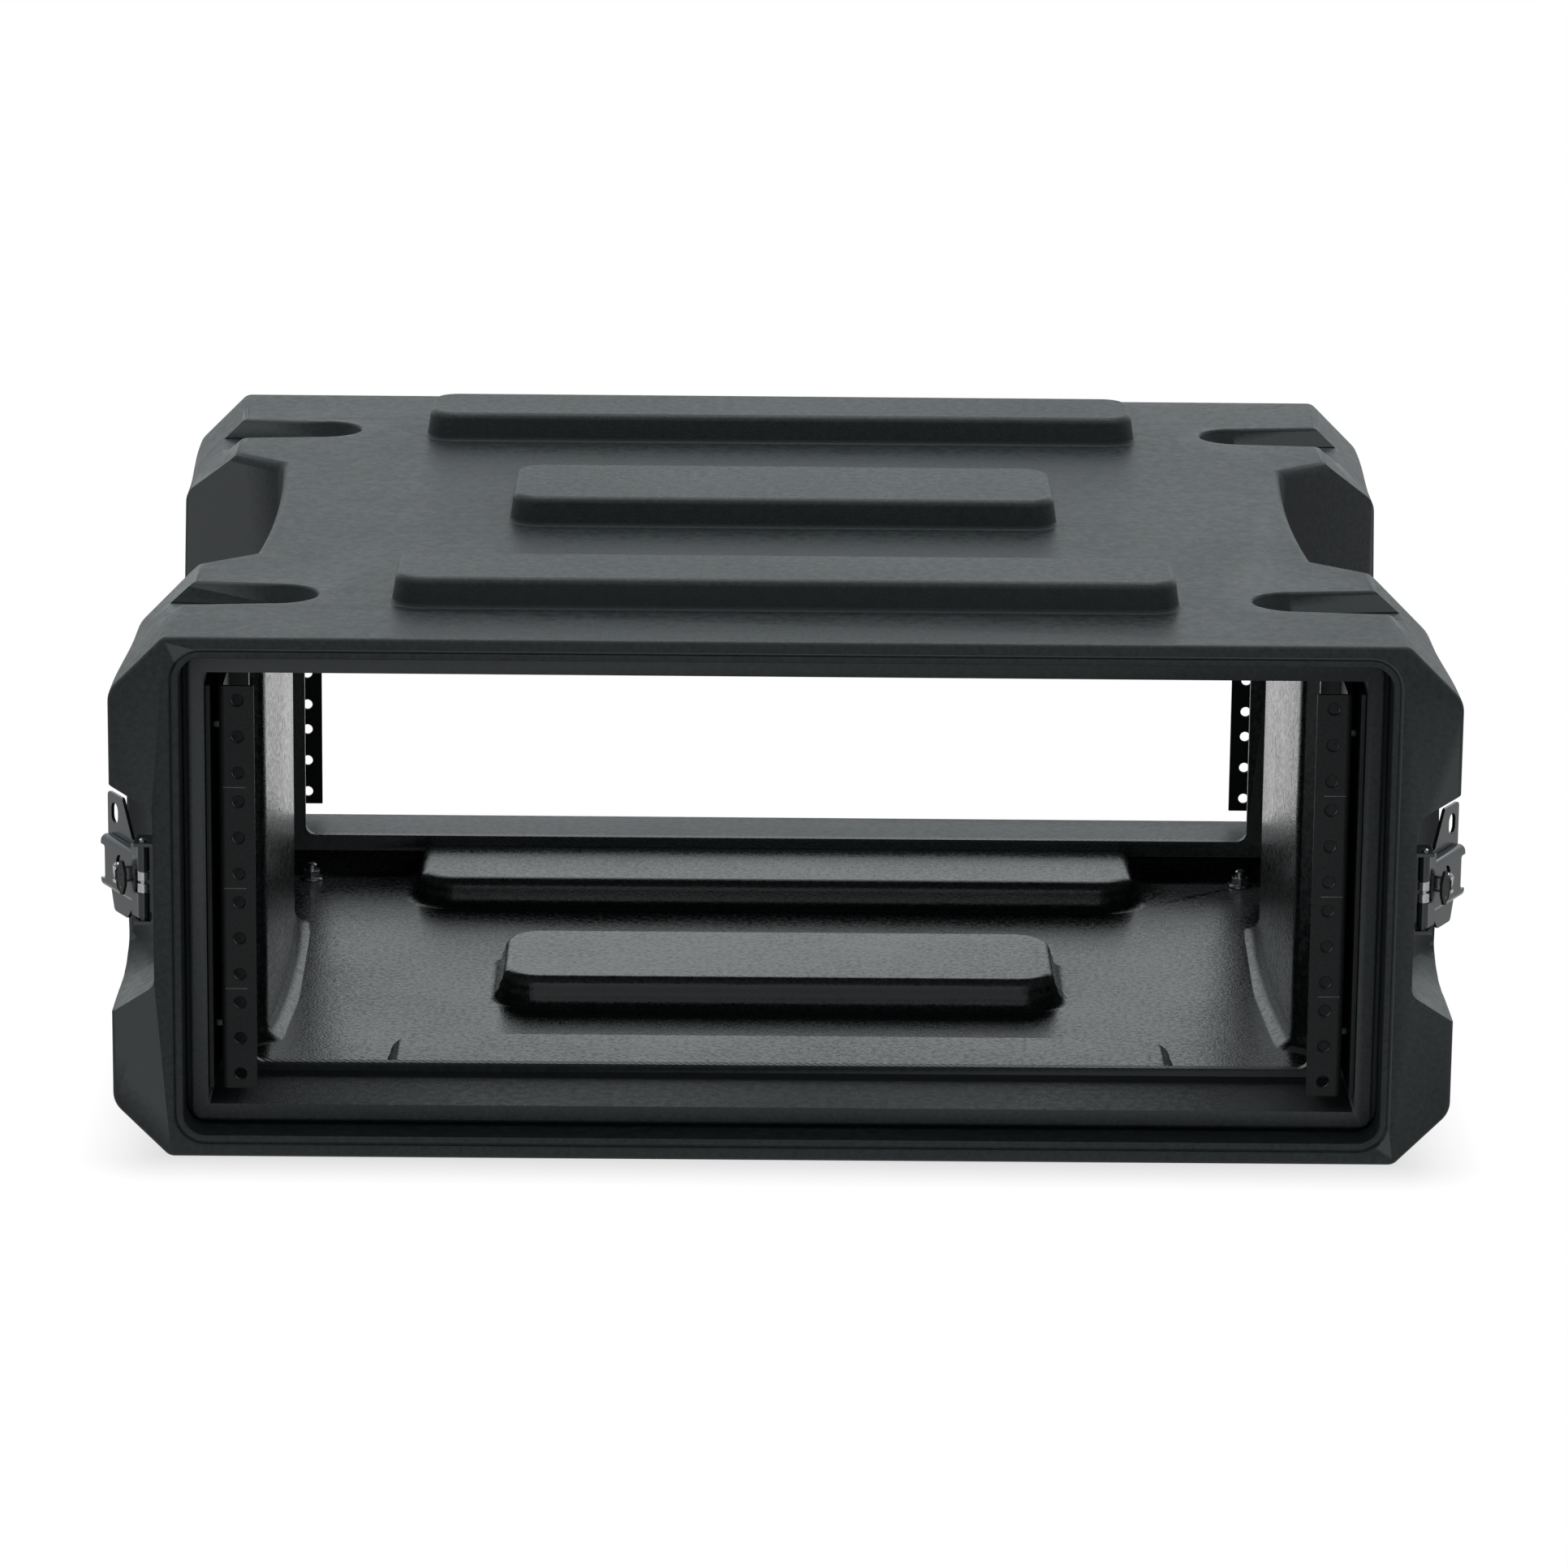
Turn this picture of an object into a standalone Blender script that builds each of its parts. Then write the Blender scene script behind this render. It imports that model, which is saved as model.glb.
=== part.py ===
"""Four-unit equipment rack case, modelled with its lids off.

Frame: origin on the ground under the middle of the case, X to the right, Y to the rear, Z up.
The front and rear ends are alike, and so are the two sides.
All lengths are in metres and all angles in degrees.
"""
import math

import bmesh
import bpy
from mathutils import Matrix, Vector

# ---- rack standard ---------------------------------------------------------------------------
RACK_UNITS = 4
UNIT_HEIGHT = 0.04445
HOLE_COLUMNS_APART = 0.4651
RACK_OPENING = 0.4508
UNIT_HOLE_HEIGHTS = (0.00635, 0.022225, 0.0381)
RACK_HOLE_DIAMETER = 0.0048

# ---- moulded body ----------------------------------------------------------------------------
RAIL_TO_RAIL = 0.4826
SIDE_BAND = 0.0263
TOP_BAND = 0.00575
WALL = 0.004
FACE_AHEAD_OF_RAILS = 0.018
CORNER_CHAMFER = 0.0237
CHAMFER_TOP_RADIUS = 0.0055
CHAMFER_SIDE_RADIUS = 0.0110
WAIST_TOP = 0.0055
WAIST_SIDE = 0.0025
WAIST_START = 0.010
WAIST_RUN = 0.095
CLEARANCE = 0.0003
BEYOND = 0.02

# ---- stacking ribs on top, grooves underneath ------------------------------------------------
RIB_HEIGHT = 0.0132
RIB_DRAFT = 0.0012
RIB_CORNER_RADIUS = 0.014
OUTER_RIB_LENGTH = 0.338
OUTER_RIB_WIDTH = 0.053
OUTER_RIB_FROM_END = 0.0833
MIDDLE_RIB_LENGTH = 0.247
MIDDLE_RIB_WIDTH = 0.076
GROOVE_PLAY = 0.0012
GROOVE_EDGE_RADIUS = 0.0012
OUTER_GROOVE_EXTRA = 0.018

# ---- foot slots in the top corners -----------------------------------------------------------
SLOT_OUTER_WIDTH = 0.051
SLOT_TIP_WIDTH = 0.036
SLOT_DEPTH = 0.0095
SLOT_TIP_PAST_FOOT = 0.025
SLOT_TIP_RUN = 0.019
SLOT_DRAFT = 0.0022

# ---- handle recesses in the sides ------------------------------------------------------------
RECESS_HALF_LENGTH = 0.095
RECESS_PAST_RAIL = 0.0016
RECESS_BOW = 0.0035
RECESS_WALL_ANGLE = 42.0
RECESS_CORNER_RADIUS = 0.010
RECESS_MOUTH_RADIUS = 0.012

# ---- latch scoops at the four side corners ---------------------------------------------------
SCOOP_DEPTH = 0.0182
SCOOP_RUN = 0.081
SCOOP_FLAT_RUN = 0.045
SCOOP_HALF_HEIGHT = 0.0385
SCOOP_FLANK_SLOPE = 0.63
SCOOP_CORNER_RADIUS = 0.006

# ---- lid seat and rail pocket at each end ----------------------------------------------------
POCKET_ABOVE_RAIL = 0.0064
SEAT_CORNER_RADIUS = 0.009
LIP_CORNER_RADIUS = 0.005
POCKET_BEHIND_RAIL_FACE = 0.048
LIP_AHEAD_OF_RAIL_FACE = 0.002
LIP_WIDTH = 0.0072
SEAL_GROOVE_WIDTH = 0.0024
SEAL_GROOVE_DEPTH = 0.006
RIDGE_WIDTH = 0.0030
SEAT_STEP = 0.0012
OPENING_RIM = 0.0155
OPENING_RIM_TOP = 0.0038
OPENING_CORNER_RADIUS = 0.005

# ---- rack rails ------------------------------------------------------------------------------
RAIL_STEEL = 0.002
RAIL_FLANGE = 0.015
RAIL_FOLD_GAP = 0.0036
RAIL_WEB_DEPTH = 0.042
RAIL_BEND_RADIUS = 0.0018
RAIL_BOLT_BACK = 0.024
RAIL_BOLT_SPREAD = 0.0667
BOLT_RADIUS = 0.0025
BOLT_HEAD_RADIUS = 0.0047
BOLT_HEAD_HEIGHT = 0.0027
BUTTON_TOP = 0.7
NUT_HEIGHT = 0.0045
NUT_RADIUS = 0.0046
BOLT_END = 0.0018

# ---- feet ------------------------------------------------------------------------------------
FOOT_HEIGHT = 0.008
FOOT_RADIUS = 0.0155
FOOT_FROM_SIDE = 0.0588
FOOT_FROM_END = 0.0833
FOOT_EDGE = 0.0024
FOOT_RECESS_RADIUS = 0.0065
FOOT_RECESS_DEPTH = 0.0046
FLANGE_NUT_RADIUS = 0.0062
FLANGE_THICKNESS = 0.0012
BOLT_POINT = 0.0007

# ---- latches ---------------------------------------------------------------------------------
LATCH_STEEL = 0.0016
LATCH_REST_ANGLE = 28.0
LATCH_RAISE = 0.002
HINGE_BACK = 0.021
HINGE_OUT = 0.0057
BARREL_RADIUS = 0.0027
HINGE_PIN_RADIUS = 0.0016
PIN_MIDDLE_RADIUS = 0.0026
PIN_MIDDLE_LENGTH = 0.0094
BRACKET_HEIGHT = 0.036
BRACKET_LENGTH = 0.0165
EAR_REACH = 0.005
EAR_PAST_PIN = 0.0022
PIN_END = 0.0010
PIN_GROOVE_WIDTH = 0.0006
PIN_GROOVE_DEPTH = 0.0005
COVER_LENGTH = 0.0405
COVER_HEIGHT = 0.0232
COVER_DEPTH = 0.0048
COVER_START = 0.0062
COVER_BEND_RADIUS = 0.0022
WINDOW_LENGTH = 0.0038
END_NOTCH_LENGTH = 0.0042
END_NOTCH_HEIGHT = 0.0150
EYE_WIDTH = 0.0082
EYE_HEIGHT = 0.0166
EYE_DROP = 0.0012
HUB_ALONG = 0.0198
HUB_RADIUS = 0.0042
HUB_SHAFT_RADIUS = 0.0027
HUB_HEAD = 0.0013
HUB_SLOT_WIDTH = 0.0010
HUB_SLOT_DEPTH = 0.0006
CAM_LENGTH = 0.0140
CAM_WIDTH = 0.0062
WING_REACH = 0.0092
WING_HEIGHT = 0.0148
WING_STEEL = 0.0012
WING_SLOT_HEIGHT = 0.0092
WING_SLOT_WIDTH = 0.0013
WING_EAR_INNER = 0.0024
WING_BARREL_RADIUS = 0.0010
WING_NECK = 0.0016
WING_SHOULDER = 0.0014
WING_TIP_HALF = 0.0026
WING_EDGE_RADIUS = 0.0005
TAB_RISE = 0.0296
TAB_WIDTH = 0.016
LOBE_WIDTH = 0.014
LOBE_FROM_END = 0.006
HASP_START = 0.004
HASP_CORNER_RADIUS = 0.0022
TAB_DROP = 0.0228
HASP_LENGTH = 0.0445
PADLOCK_HOLE_WIDTH = 0.0070
PADLOCK_HOLE_HEIGHT = 0.0092
PADLOCK_HOLE_FROM_END = 0.0075
PADLOCK_HOLE_FROM_TOP = 0.0085

# ---- side handles ----------------------------------------------------------------------------
HANDLE_STEEL = 0.002
HANDLE_PLATE_LENGTH = 0.150
HANDLE_PLATE_HEIGHT = 0.092
BAIL_WIDTH = 0.104
BAIL_DROP = 0.052
BAIL_RADIUS = 0.0036
BAIL_BEND_RADIUS = 0.009
BAIL_OUT = 0.0125
BAIL_PIVOT_RISE = 0.030
BAIL_PIVOT_END = 0.015
EAR_THICKNESS = 0.0022
EAR_HALF_FOOT = 0.012
EAR_ROUND_BAIL = 0.0035
EAR_CORNER_RADIUS = 0.004
PLATE_CORNER_RADIUS = 0.012
BAIL_END_PLAY = 0.0015
GRIP_RADIUS = 0.0100
GRIP_EDGE = 0.002
GRIP_RING_DEPTH = 0.0010
GRIP_RING_HALF = 0.0022
GRIP_RING_STEP = 0.45
SPRING_WIRE = 0.0008
SPRING_TURNS = 3
SPRING_SLACK = 0.0012

# ---- derived places --------------------------------------------------------------------------
RAIL_HEIGHT = RACK_UNITS * UNIT_HEIGHT
RAIL_FACE = RAIL_TO_RAIL / 2
RAIL_INNER_X = RACK_OPENING / 2
POCKET_HALF_WIDTH = RAIL_INNER_X + RAIL_FLANGE + RAIL_FOLD_GAP + RAIL_STEEL + CLEARANCE
POCKET_HALF_HEIGHT = RAIL_HEIGHT / 2 + POCKET_ABOVE_RAIL
POCKET_BACK = RAIL_FACE - POCKET_BEHIND_RAIL_FACE
LIP_FACE = RAIL_FACE + LIP_AHEAD_OF_RAIL_FACE
SEAT_WIDTH = LIP_WIDTH + SEAL_GROOVE_WIDTH + RIDGE_WIDTH + SEAT_STEP / 2
HALF_WIDTH = POCKET_HALF_WIDTH + SEAT_WIDTH + SIDE_BAND
HALF_HEIGHT = POCKET_HALF_HEIGHT + SEAT_WIDTH + TOP_BAND
HALF_DEPTH = RAIL_FACE + FACE_AHEAD_OF_RAILS
BODY_BOTTOM = FOOT_HEIGHT
BODY_MIDDLE = BODY_BOTTOM + HALF_HEIGHT
BODY_TOP = BODY_MIDDLE + HALF_HEIGHT
RAIL_BOTTOM = BODY_MIDDLE - RAIL_HEIGHT / 2
FOOT_X = HALF_WIDTH - FOOT_FROM_SIDE
FOOT_Y = HALF_DEPTH - FOOT_FROM_END
SLOT_TIP_X = FOOT_X - SLOT_TIP_PAST_FOOT
OUTER_RIB_OFFSET = HALF_DEPTH - OUTER_RIB_FROM_END
RECESS_INNER_X = RAIL_INNER_X + WALL + RECESS_PAST_RAIL
SCOOP_FLOOR_X = HALF_WIDTH - SCOOP_DEPTH
HINGE_X = SCOOP_FLOOR_X + HINGE_OUT
HINGE_Y = HALF_DEPTH - HINGE_BACK
LATCH_Z = BODY_MIDDLE + LATCH_RAISE
HOLE_SLACK = 0.0004
HALF_TURN = math.sqrt(0.5)
ENDS = (("front", 1), ("rear", -1))
SIDES = (("left", -1), ("right", 1))


# ---- scene, collections and materials --------------------------------------------------------
def clear_scene():
    """Start from an empty scene."""
    for old in list(bpy.data.objects):
        bpy.data.objects.remove(old, do_unlink=True)


def new_collection(name):
    """Make a collection under the scene's own."""
    collection = bpy.data.collections.new(name)
    bpy.context.scene.collection.children.link(collection)
    return collection


def new_material(name, colour, roughness, metallic=0.0):
    """Make a plain Principled material."""
    material = bpy.data.materials.new(name)
    material.use_nodes = True
    shader = material.node_tree.nodes["Principled BSDF"]
    shader.inputs["Base Color"].default_value = (*colour, 1.0)
    shader.inputs["Roughness"].default_value = roughness
    shader.inputs["Metallic"].default_value = metallic
    return material


clear_scene()
CASE = new_collection("rack_case")
CUTTERS = new_collection("cutters")
MATERIALS = {
    "shell": new_material("moulded_polyethylene", (0.030, 0.034, 0.036), 0.5),
    "steel": new_material("black_coated_steel", (0.022, 0.023, 0.024), 0.45),
    "zinc": new_material("bright_zinc", (0.72, 0.73, 0.74), 0.3, 1.0),
    "rubber": new_material("black_rubber", (0.015, 0.015, 0.016), 0.75),
}


# ---- outlines --------------------------------------------------------------------------------
def arc_points(corner, before, after, radius, steps):
    """Round one corner: points of the arc that touches both of its edges."""
    corner, before, after = Vector(corner), Vector(before), Vector(after)
    to_before = (before - corner).normalized()
    to_after = (after - corner).normalized()
    half_angle = to_before.angle(to_after) / 2
    reach = radius / math.tan(half_angle)
    centre = corner + (to_before + to_after).normalized() * radius / math.sin(half_angle)
    start = corner + to_before * reach - centre
    turn = math.pi - 2 * half_angle
    side = 1 if to_before.x * to_after.y - to_before.y * to_after.x < 0 else -1
    points = []
    for step in range(steps + 1):
        angle = side * turn * step / steps
        points.append(centre + Matrix.Rotation(angle, 2) @ start)
    return points


def rounded_path(points, radius, steps, closed=False):
    """Round the corners of a path; the two ends of an open path stay as they are."""
    count = len(points)
    result = []
    for index, point in enumerate(points):
        if not closed and index in (0, count - 1):
            result.append(Vector(point))
            continue
        result += arc_points(point, points[index - 1], points[(index + 1) % count], radius, steps)
    return result


def rounded_rectangle(half_u, half_v, radius, steps, centre=(0.0, 0.0)):
    """Outline of a rectangle with rounded corners."""
    u, v = centre
    corners = [(u - half_u, v - half_v), (u + half_u, v - half_v),
               (u + half_u, v + half_v), (u - half_u, v + half_v)]
    return rounded_path(corners, radius, steps, closed=True)


def oval_outline(half_u, half_v, steps, centre=(0.0, 0.0)):
    """Outline of a slot with two round ends along its longer half-size."""
    radius = min(half_u, half_v) * 0.999
    return rounded_rectangle(half_u, half_v, radius, steps, centre)


def moved_sideways(line, distance):
    """Move an open line sideways by a distance, keeping its bends parallel."""
    normals = []
    for start, end in zip(line, line[1:]):
        along = (end - start).normalized()
        normals.append(Vector((-along.y, along.x)))
    result = []
    for index, point in enumerate(line):
        first = normals[max(index - 1, 0)]
        second = normals[min(index, len(normals) - 1)]
        result.append(point + (first + second) * distance / (1 + first.dot(second)))
    return result


def sheet_outline(path, thickness, bend, steps=2):
    """Section of a folded sheet whose middle line follows the path."""
    middle = rounded_path(path, bend, steps)
    left = moved_sideways(middle, thickness / 2)
    right = moved_sideways(middle, -thickness / 2)
    return left + right[::-1]


# ---- solids ----------------------------------------------------------------------------------
def add_object(name, mesh, material, collection=None):
    """Put a mesh into the model as a named object."""
    thing = bpy.data.objects.new(name, mesh)
    (collection or CASE).objects.link(thing)
    if material:
        mesh.materials.append(MATERIALS[material])
    return thing


FRAMES = {
    "x": Matrix(((0, 0, 1, 0), (1, 0, 0, 0), (0, 1, 0, 0), (0, 0, 0, 1))),
    "y": Matrix(((1, 0, 0, 0), (0, 0, 1, 0), (0, 1, 0, 0), (0, 0, 0, 1))),
    "z": Matrix.Identity(4),
}


def to_world(axis, u, v, w):
    """Turn section coordinates u, v and the height w along the axis into x, y, z."""
    return FRAMES[axis] @ Vector((u, v, w))


def blank(name, shape, matrix):
    """Put a primitive into the model as a cutter or a blank, with its faces turned outwards."""
    mesh = bpy.data.meshes.new(name)
    bmesh.ops.transform(shape, matrix=matrix, verts=shape.verts)
    bmesh.ops.recalc_face_normals(shape, faces=shape.faces)
    shape.to_mesh(mesh)
    shape.free()
    return add_object(name, mesh, None, CUTTERS)


def plain_mesh(thing):
    """Closed mesh of a curve object, which then goes."""
    CUTTERS.objects.link(thing)
    bpy.context.view_layer.update()
    mesh = bpy.data.meshes.new_from_object(thing.evaluated_get(bpy.context.evaluated_depsgraph_get()))
    bpy.data.objects.remove(thing, do_unlink=True)
    shape = bmesh.new()
    shape.from_mesh(mesh)
    bpy.data.meshes.remove(mesh)
    bmesh.ops.remove_doubles(shape, verts=shape.verts, dist=0.00001)
    return shape


def lofted(name, axis, sections):
    """Closed solid through (height, outline) sections that all have the same number of points."""
    mesh = bpy.data.meshes.new(name)
    shape = bmesh.new()
    rings = []
    for height, outline in sections:
        rings.append([shape.verts.new(to_world(axis, p[0], p[1], height)) for p in outline])
    for lower, upper in zip(rings, rings[1:]):
        for index in range(len(lower)):
            following = (index + 1) % len(lower)
            shape.faces.new((lower[index], lower[following], upper[following], upper[index]))
    shape.faces.new(rings[0])
    shape.faces.new(rings[-1])
    bmesh.ops.recalc_face_normals(shape, faces=shape.faces)
    shape.to_mesh(mesh)
    shape.free()
    return add_object(name, mesh, None, CUTTERS)


def prism(name, axis, outline, low, high):
    """Straight solid with one outline: a filled flat curve, extruded both ways from its middle."""
    curve = bpy.data.curves.new(name, "CURVE")
    curve.dimensions = "2D"
    curve.fill_mode = "BOTH"
    curve.extrude = abs(high - low) / 2
    spline = curve.splines.new("POLY")
    spline.points.add(len(outline) - 1)
    spline.use_cyclic_u = True
    for point, place in zip(spline.points, outline):
        point.co = (place[0], place[1], 0.0, 1.0)
    shape = plain_mesh(bpy.data.objects.new(name, curve))
    bmesh.ops.dissolve_limit(shape, angle_limit=0.001, verts=shape.verts, edges=shape.edges, delimit={"NORMAL"})
    return blank(name, shape, FRAMES[axis] @ Matrix.Translation((0.0, 0.0, (low + high) / 2)))


def box(name, low, high):
    """Box between two corners."""
    shape = bmesh.new()
    bmesh.ops.create_cube(shape, size=1.0)
    low, high = Vector(low), Vector(high)
    size = high - low
    return blank(name, shape, Matrix.Translation((low + high) / 2) @ Matrix.Diagonal((*size, 1.0)))


def rod(name, axis, radius, steps, low, high, centre=(0.0, 0.0), end_radius=None):
    """Cylinder along an axis, or a tapered one with another radius at its high end."""
    shape = bmesh.new()
    bmesh.ops.create_cone(shape, cap_ends=True, segments=steps, radius1=radius,
                          radius2=radius if end_radius is None else end_radius, depth=abs(high - low))
    middle = Matrix.Translation((centre[0], centre[1], (low + high) / 2))
    return blank(name, shape, FRAMES[axis] @ middle)


def turned(name, profile, steps):
    """Turn a profile of (radius, height) points, listed from its top down, about the Z axis."""
    mesh = bpy.data.meshes.new(name)
    closed = profile[0][0] > 0
    edges = [(index, index + 1) for index in range(len(profile) - 1)]
    if closed:
        edges.append((len(profile) - 1, 0))
    mesh.from_pydata([(radius, 0.0, height) for radius, height in profile], edges, [])
    thing = add_object(name, mesh, None, CUTTERS)
    screw = thing.modifiers.new("turn", "SCREW")
    screw.steps = steps
    screw.render_steps = steps
    screw.use_merge_vertices = True
    screw.merge_threshold = 0.00005
    return thing


def boolean(thing, other, operation):
    """Cut, or join, one object with another."""
    step = thing.modifiers.new(other.name, "BOOLEAN")
    step.operation = operation
    step.solver = "EXACT"
    step.object = other
    other.hide_render = True
    other.display_type = "WIRE"
    return thing


def cut(thing, *others):
    """Take the others away from an object."""
    for other in others:
        boolean(thing, other, "DIFFERENCE")
    return thing


def joined(thing, *others):
    """Join the others to an object."""
    for other in others:
        boolean(thing, other, "UNION")
    return thing


def settled(thing):
    """Plain mesh of an object with its modifiers worked out; the object and its cutters go."""
    bpy.context.view_layer.update()
    graph = bpy.context.evaluated_depsgraph_get()
    mesh = bpy.data.meshes.new_from_object(thing.evaluated_get(graph))
    spent = [step.object for step in thing.modifiers if step.type == "BOOLEAN"]
    for used in [thing] + spent:
        bpy.data.objects.remove(used, do_unlink=True)
    return mesh


def smooth(mesh, angle=35.0):
    """Shade round faces smooth and keep real edges sharp."""
    mesh.shade_smooth()
    mesh.set_sharp_from_angle(angle=math.radians(angle))
    return mesh


def mirrored_copy(mesh, side, end):
    """Copy of a front right mesh for another corner of the case."""
    copy = mesh.copy()
    copy.transform(Matrix.Diagonal((side, end, 1.0, 1.0)))
    if side * end < 0:
        copy.flip_normals()
    return copy


def add_empty(name, location, turn=0.0):
    """Empty that carries a moving piece on its joint's axis."""
    empty = bpy.data.objects.new(name, None)
    empty.location = location
    empty.rotation_euler = (0.0, 0.0, turn)
    empty.empty_display_size = 0.01
    CASE.objects.link(empty)
    return empty


# ---- the moulded body as one form, drawn at a chosen distance inside its outer skin ----------
def body_outline(inset, waist):
    """Front view of the body: an upright rectangle with cut corners, drawn in a little at the waist."""
    half_u = HALF_WIDTH - inset
    half_v = HALF_HEIGHT - inset
    chamfer = CORNER_CHAMFER - inset * (2 - math.sqrt(2))
    across_u = half_u - chamfer - waist * WAIST_TOP
    upright_u = half_u - waist * WAIST_SIDE
    across_radius = CHAMFER_TOP_RADIUS - inset
    upright_radius = CHAMFER_SIDE_RADIUS - inset
    corners = []
    for su, sv in ((-1, -1), (1, -1), (1, 1), (-1, 1)):
        across = (su * across_u, sv * half_v, across_radius)
        upright = (su * upright_u, sv * (half_v - chamfer), upright_radius)
        corners += [upright, across] if su * sv > 0 else [across, upright]
    corners = corners[:4] + [(half_u, 0.0, 0.0)] + corners[4:] + [(-half_u, 0.0, 0.0)]
    outline = []
    for index, (u, v, radius) in enumerate(corners):
        if radius == 0.0:
            outline.append(Vector((u, v)))
            continue
        before, after = corners[index - 1][:2], corners[(index + 1) % len(corners)][:2]
        outline += arc_points((u, v), before, after, radius, 2)
    return [point + Vector((0.0, BODY_MIDDLE)) for point in outline]


def body_block(name, inset):
    """The body before anything is cut: full at both end faces and drawn in between them."""
    shares = [step / 3 for step in range(4)]
    places = [(inset, 0.0)]
    places += [(WAIST_START + WAIST_RUN * share, share * share * (3 - 2 * share)) for share in shares]
    front = [(depth - HALF_DEPTH, body_outline(inset, waist)) for depth, waist in places]
    rear = [(-place, outline) for place, outline in reversed(front)]
    return lofted(name, "y", front + rear)


def stacking_ribs(inset):
    """The three raised ribs on top, with sloping sides and rounded corners in plan."""
    ribs = []
    places = ((-OUTER_RIB_OFFSET, OUTER_RIB_LENGTH, OUTER_RIB_WIDTH), (0.0, MIDDLE_RIB_LENGTH, MIDDLE_RIB_WIDTH),
              (OUTER_RIB_OFFSET, OUTER_RIB_LENGTH, OUTER_RIB_WIDTH))
    top = BODY_TOP + RIB_HEIGHT - inset
    for number, (place, length, width) in enumerate(places):
        sections = []
        for height, draft in ((BODY_TOP - 3 * WALL, 0.0), (BODY_TOP - inset, 0.0),
                              (top - RIB_DRAFT, RIB_DRAFT), (top, 2 * RIB_DRAFT)):
            shrink = inset + draft
            outline = rounded_rectangle(length / 2 - shrink, width / 2 - shrink, RIB_CORNER_RADIUS - shrink, 3,
                                        (0.0, place))
            sections.append((height, outline))
        ribs.append(lofted(f"rib_{number}", "z", sections))
    return ribs


def stacking_grooves(inset):
    """The three grooves underneath that take the ribs of the case below."""
    grooves = []
    outer_width = OUTER_RIB_WIDTH + OUTER_GROOVE_EXTRA
    outer_place = OUTER_RIB_OFFSET - OUTER_GROOVE_EXTRA / 2
    places = ((-outer_place, OUTER_RIB_LENGTH, outer_width), (0.0, MIDDLE_RIB_LENGTH, MIDDLE_RIB_WIDTH),
              (outer_place, OUTER_RIB_LENGTH, outer_width))
    ceiling = BODY_BOTTOM + RIB_HEIGHT + GROOVE_PLAY / 2 + inset
    for number, (place, length, width) in enumerate(places):
        sections = []
        bend = GROOVE_EDGE_RADIUS + inset
        sides = ((BODY_BOTTOM - WALL, -RIB_DRAFT), (ceiling - bend, RIB_DRAFT),
                 (ceiling - bend * (1 - HALF_TURN), RIB_DRAFT + bend * (1 - HALF_TURN)), (ceiling, RIB_DRAFT + bend))
        for height, draft in sides:
            grow = GROOVE_PLAY + inset - draft
            outline = rounded_rectangle(length / 2 + grow, width / 2 + grow, RIB_CORNER_RADIUS + grow, 3,
                                        (0.0, place))
            sections.append((height, outline))
        grooves.append(lofted(f"groove_{number}", "z", sections))
    return grooves


def handle_recess(side, inset):
    """Upright channel down one side, wider at its mouth, that leaves room for the handle and a hand."""
    angle = math.radians(RECESS_WALL_ANGLE)
    inner = RECESS_INNER_X - inset
    ends_x = inner + RECESS_BOW
    half = RECESS_HALF_LENGTH + inset * math.tan(angle / 2)
    side_x = HALF_WIDTH - inset
    corner_y = half + (side_x - ends_x) * math.tan(angle)
    beyond = HALF_WIDTH + 2 * WALL
    wall = [(side_x, corner_y + 2 * RECESS_MOUTH_RADIUS), (side_x, corner_y), (ends_x, half), (inner, 0.0)]
    lip = arc_points(wall[1], wall[0], wall[2], RECESS_MOUTH_RADIUS + inset, 3)
    corner = arc_points(wall[2], wall[1], wall[3], RECESS_CORNER_RADIUS, 3)
    bow = []
    for share in (2 / 3, 1 / 3):
        bow.append(Vector((inner + RECESS_BOW * share * share, half * share)))
    quarter = [Vector((beyond, lip[0].y))] + lip + corner + bow
    outline = quarter + [Vector((inner, 0.0))] + [Vector((p.x, -p.y)) for p in reversed(quarter)]
    outline = [(side * p.x, p.y) for p in outline]
    return prism(f"recess_{side}", "z", outline, BODY_BOTTOM - BEYOND, BODY_TOP + BEYOND)


def scoop_floor(depth, inset):
    """Distance of the scoop's floor from the middle plane, at a depth behind the end face."""
    rise_run = SCOOP_RUN - SCOOP_FLAT_RUN
    radius = (rise_run ** 2 + SCOOP_DEPTH ** 2) / (2 * SCOOP_DEPTH)
    past = max(depth - SCOOP_FLAT_RUN, 0.0)
    outer = radius + inset
    return SCOOP_FLOOR_X + radius - math.sqrt(max(outer ** 2 - past ** 2, 0.0))


def latch_scoop(side, end, inset):
    """Hollow for one latch: flat at the end face, then sweeping out to meet the side wall."""
    slant = math.sqrt(1 + SCOOP_FLANK_SLOPE ** 2)
    half = SCOOP_HALF_HEIGHT + inset * (slant - SCOOP_FLANK_SLOPE)
    beyond = HALF_WIDTH + SCOOP_DEPTH + 2 * WALL
    last = SCOOP_RUN + WALL
    depths = [-2 * WALL, SCOOP_FLAT_RUN]
    depths += [SCOOP_FLAT_RUN + (last - SCOOP_FLAT_RUN) * step / 6 for step in range(1, 7)]
    sections = []
    for depth in depths:
        floor = scoop_floor(depth, inset)
        reach = half + (beyond - floor) * SCOOP_FLANK_SLOPE
        corners = [(floor, -half), (floor, half)]
        rounded = arc_points(corners[0], (beyond, -reach), corners[1], SCOOP_CORNER_RADIUS + inset, 2)
        rounded += arc_points(corners[1], corners[0], (beyond, reach), SCOOP_CORNER_RADIUS + inset, 2)
        outline = [Vector((beyond, -reach))] + rounded + [Vector((beyond, reach))]
        placed = [(side * p.x, p.y + BODY_MIDDLE) for p in outline]
        sections.append((-end * (HALF_DEPTH - depth), placed))
    return lofted(f"scoop_{side}_{end}", "y", sections)


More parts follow.
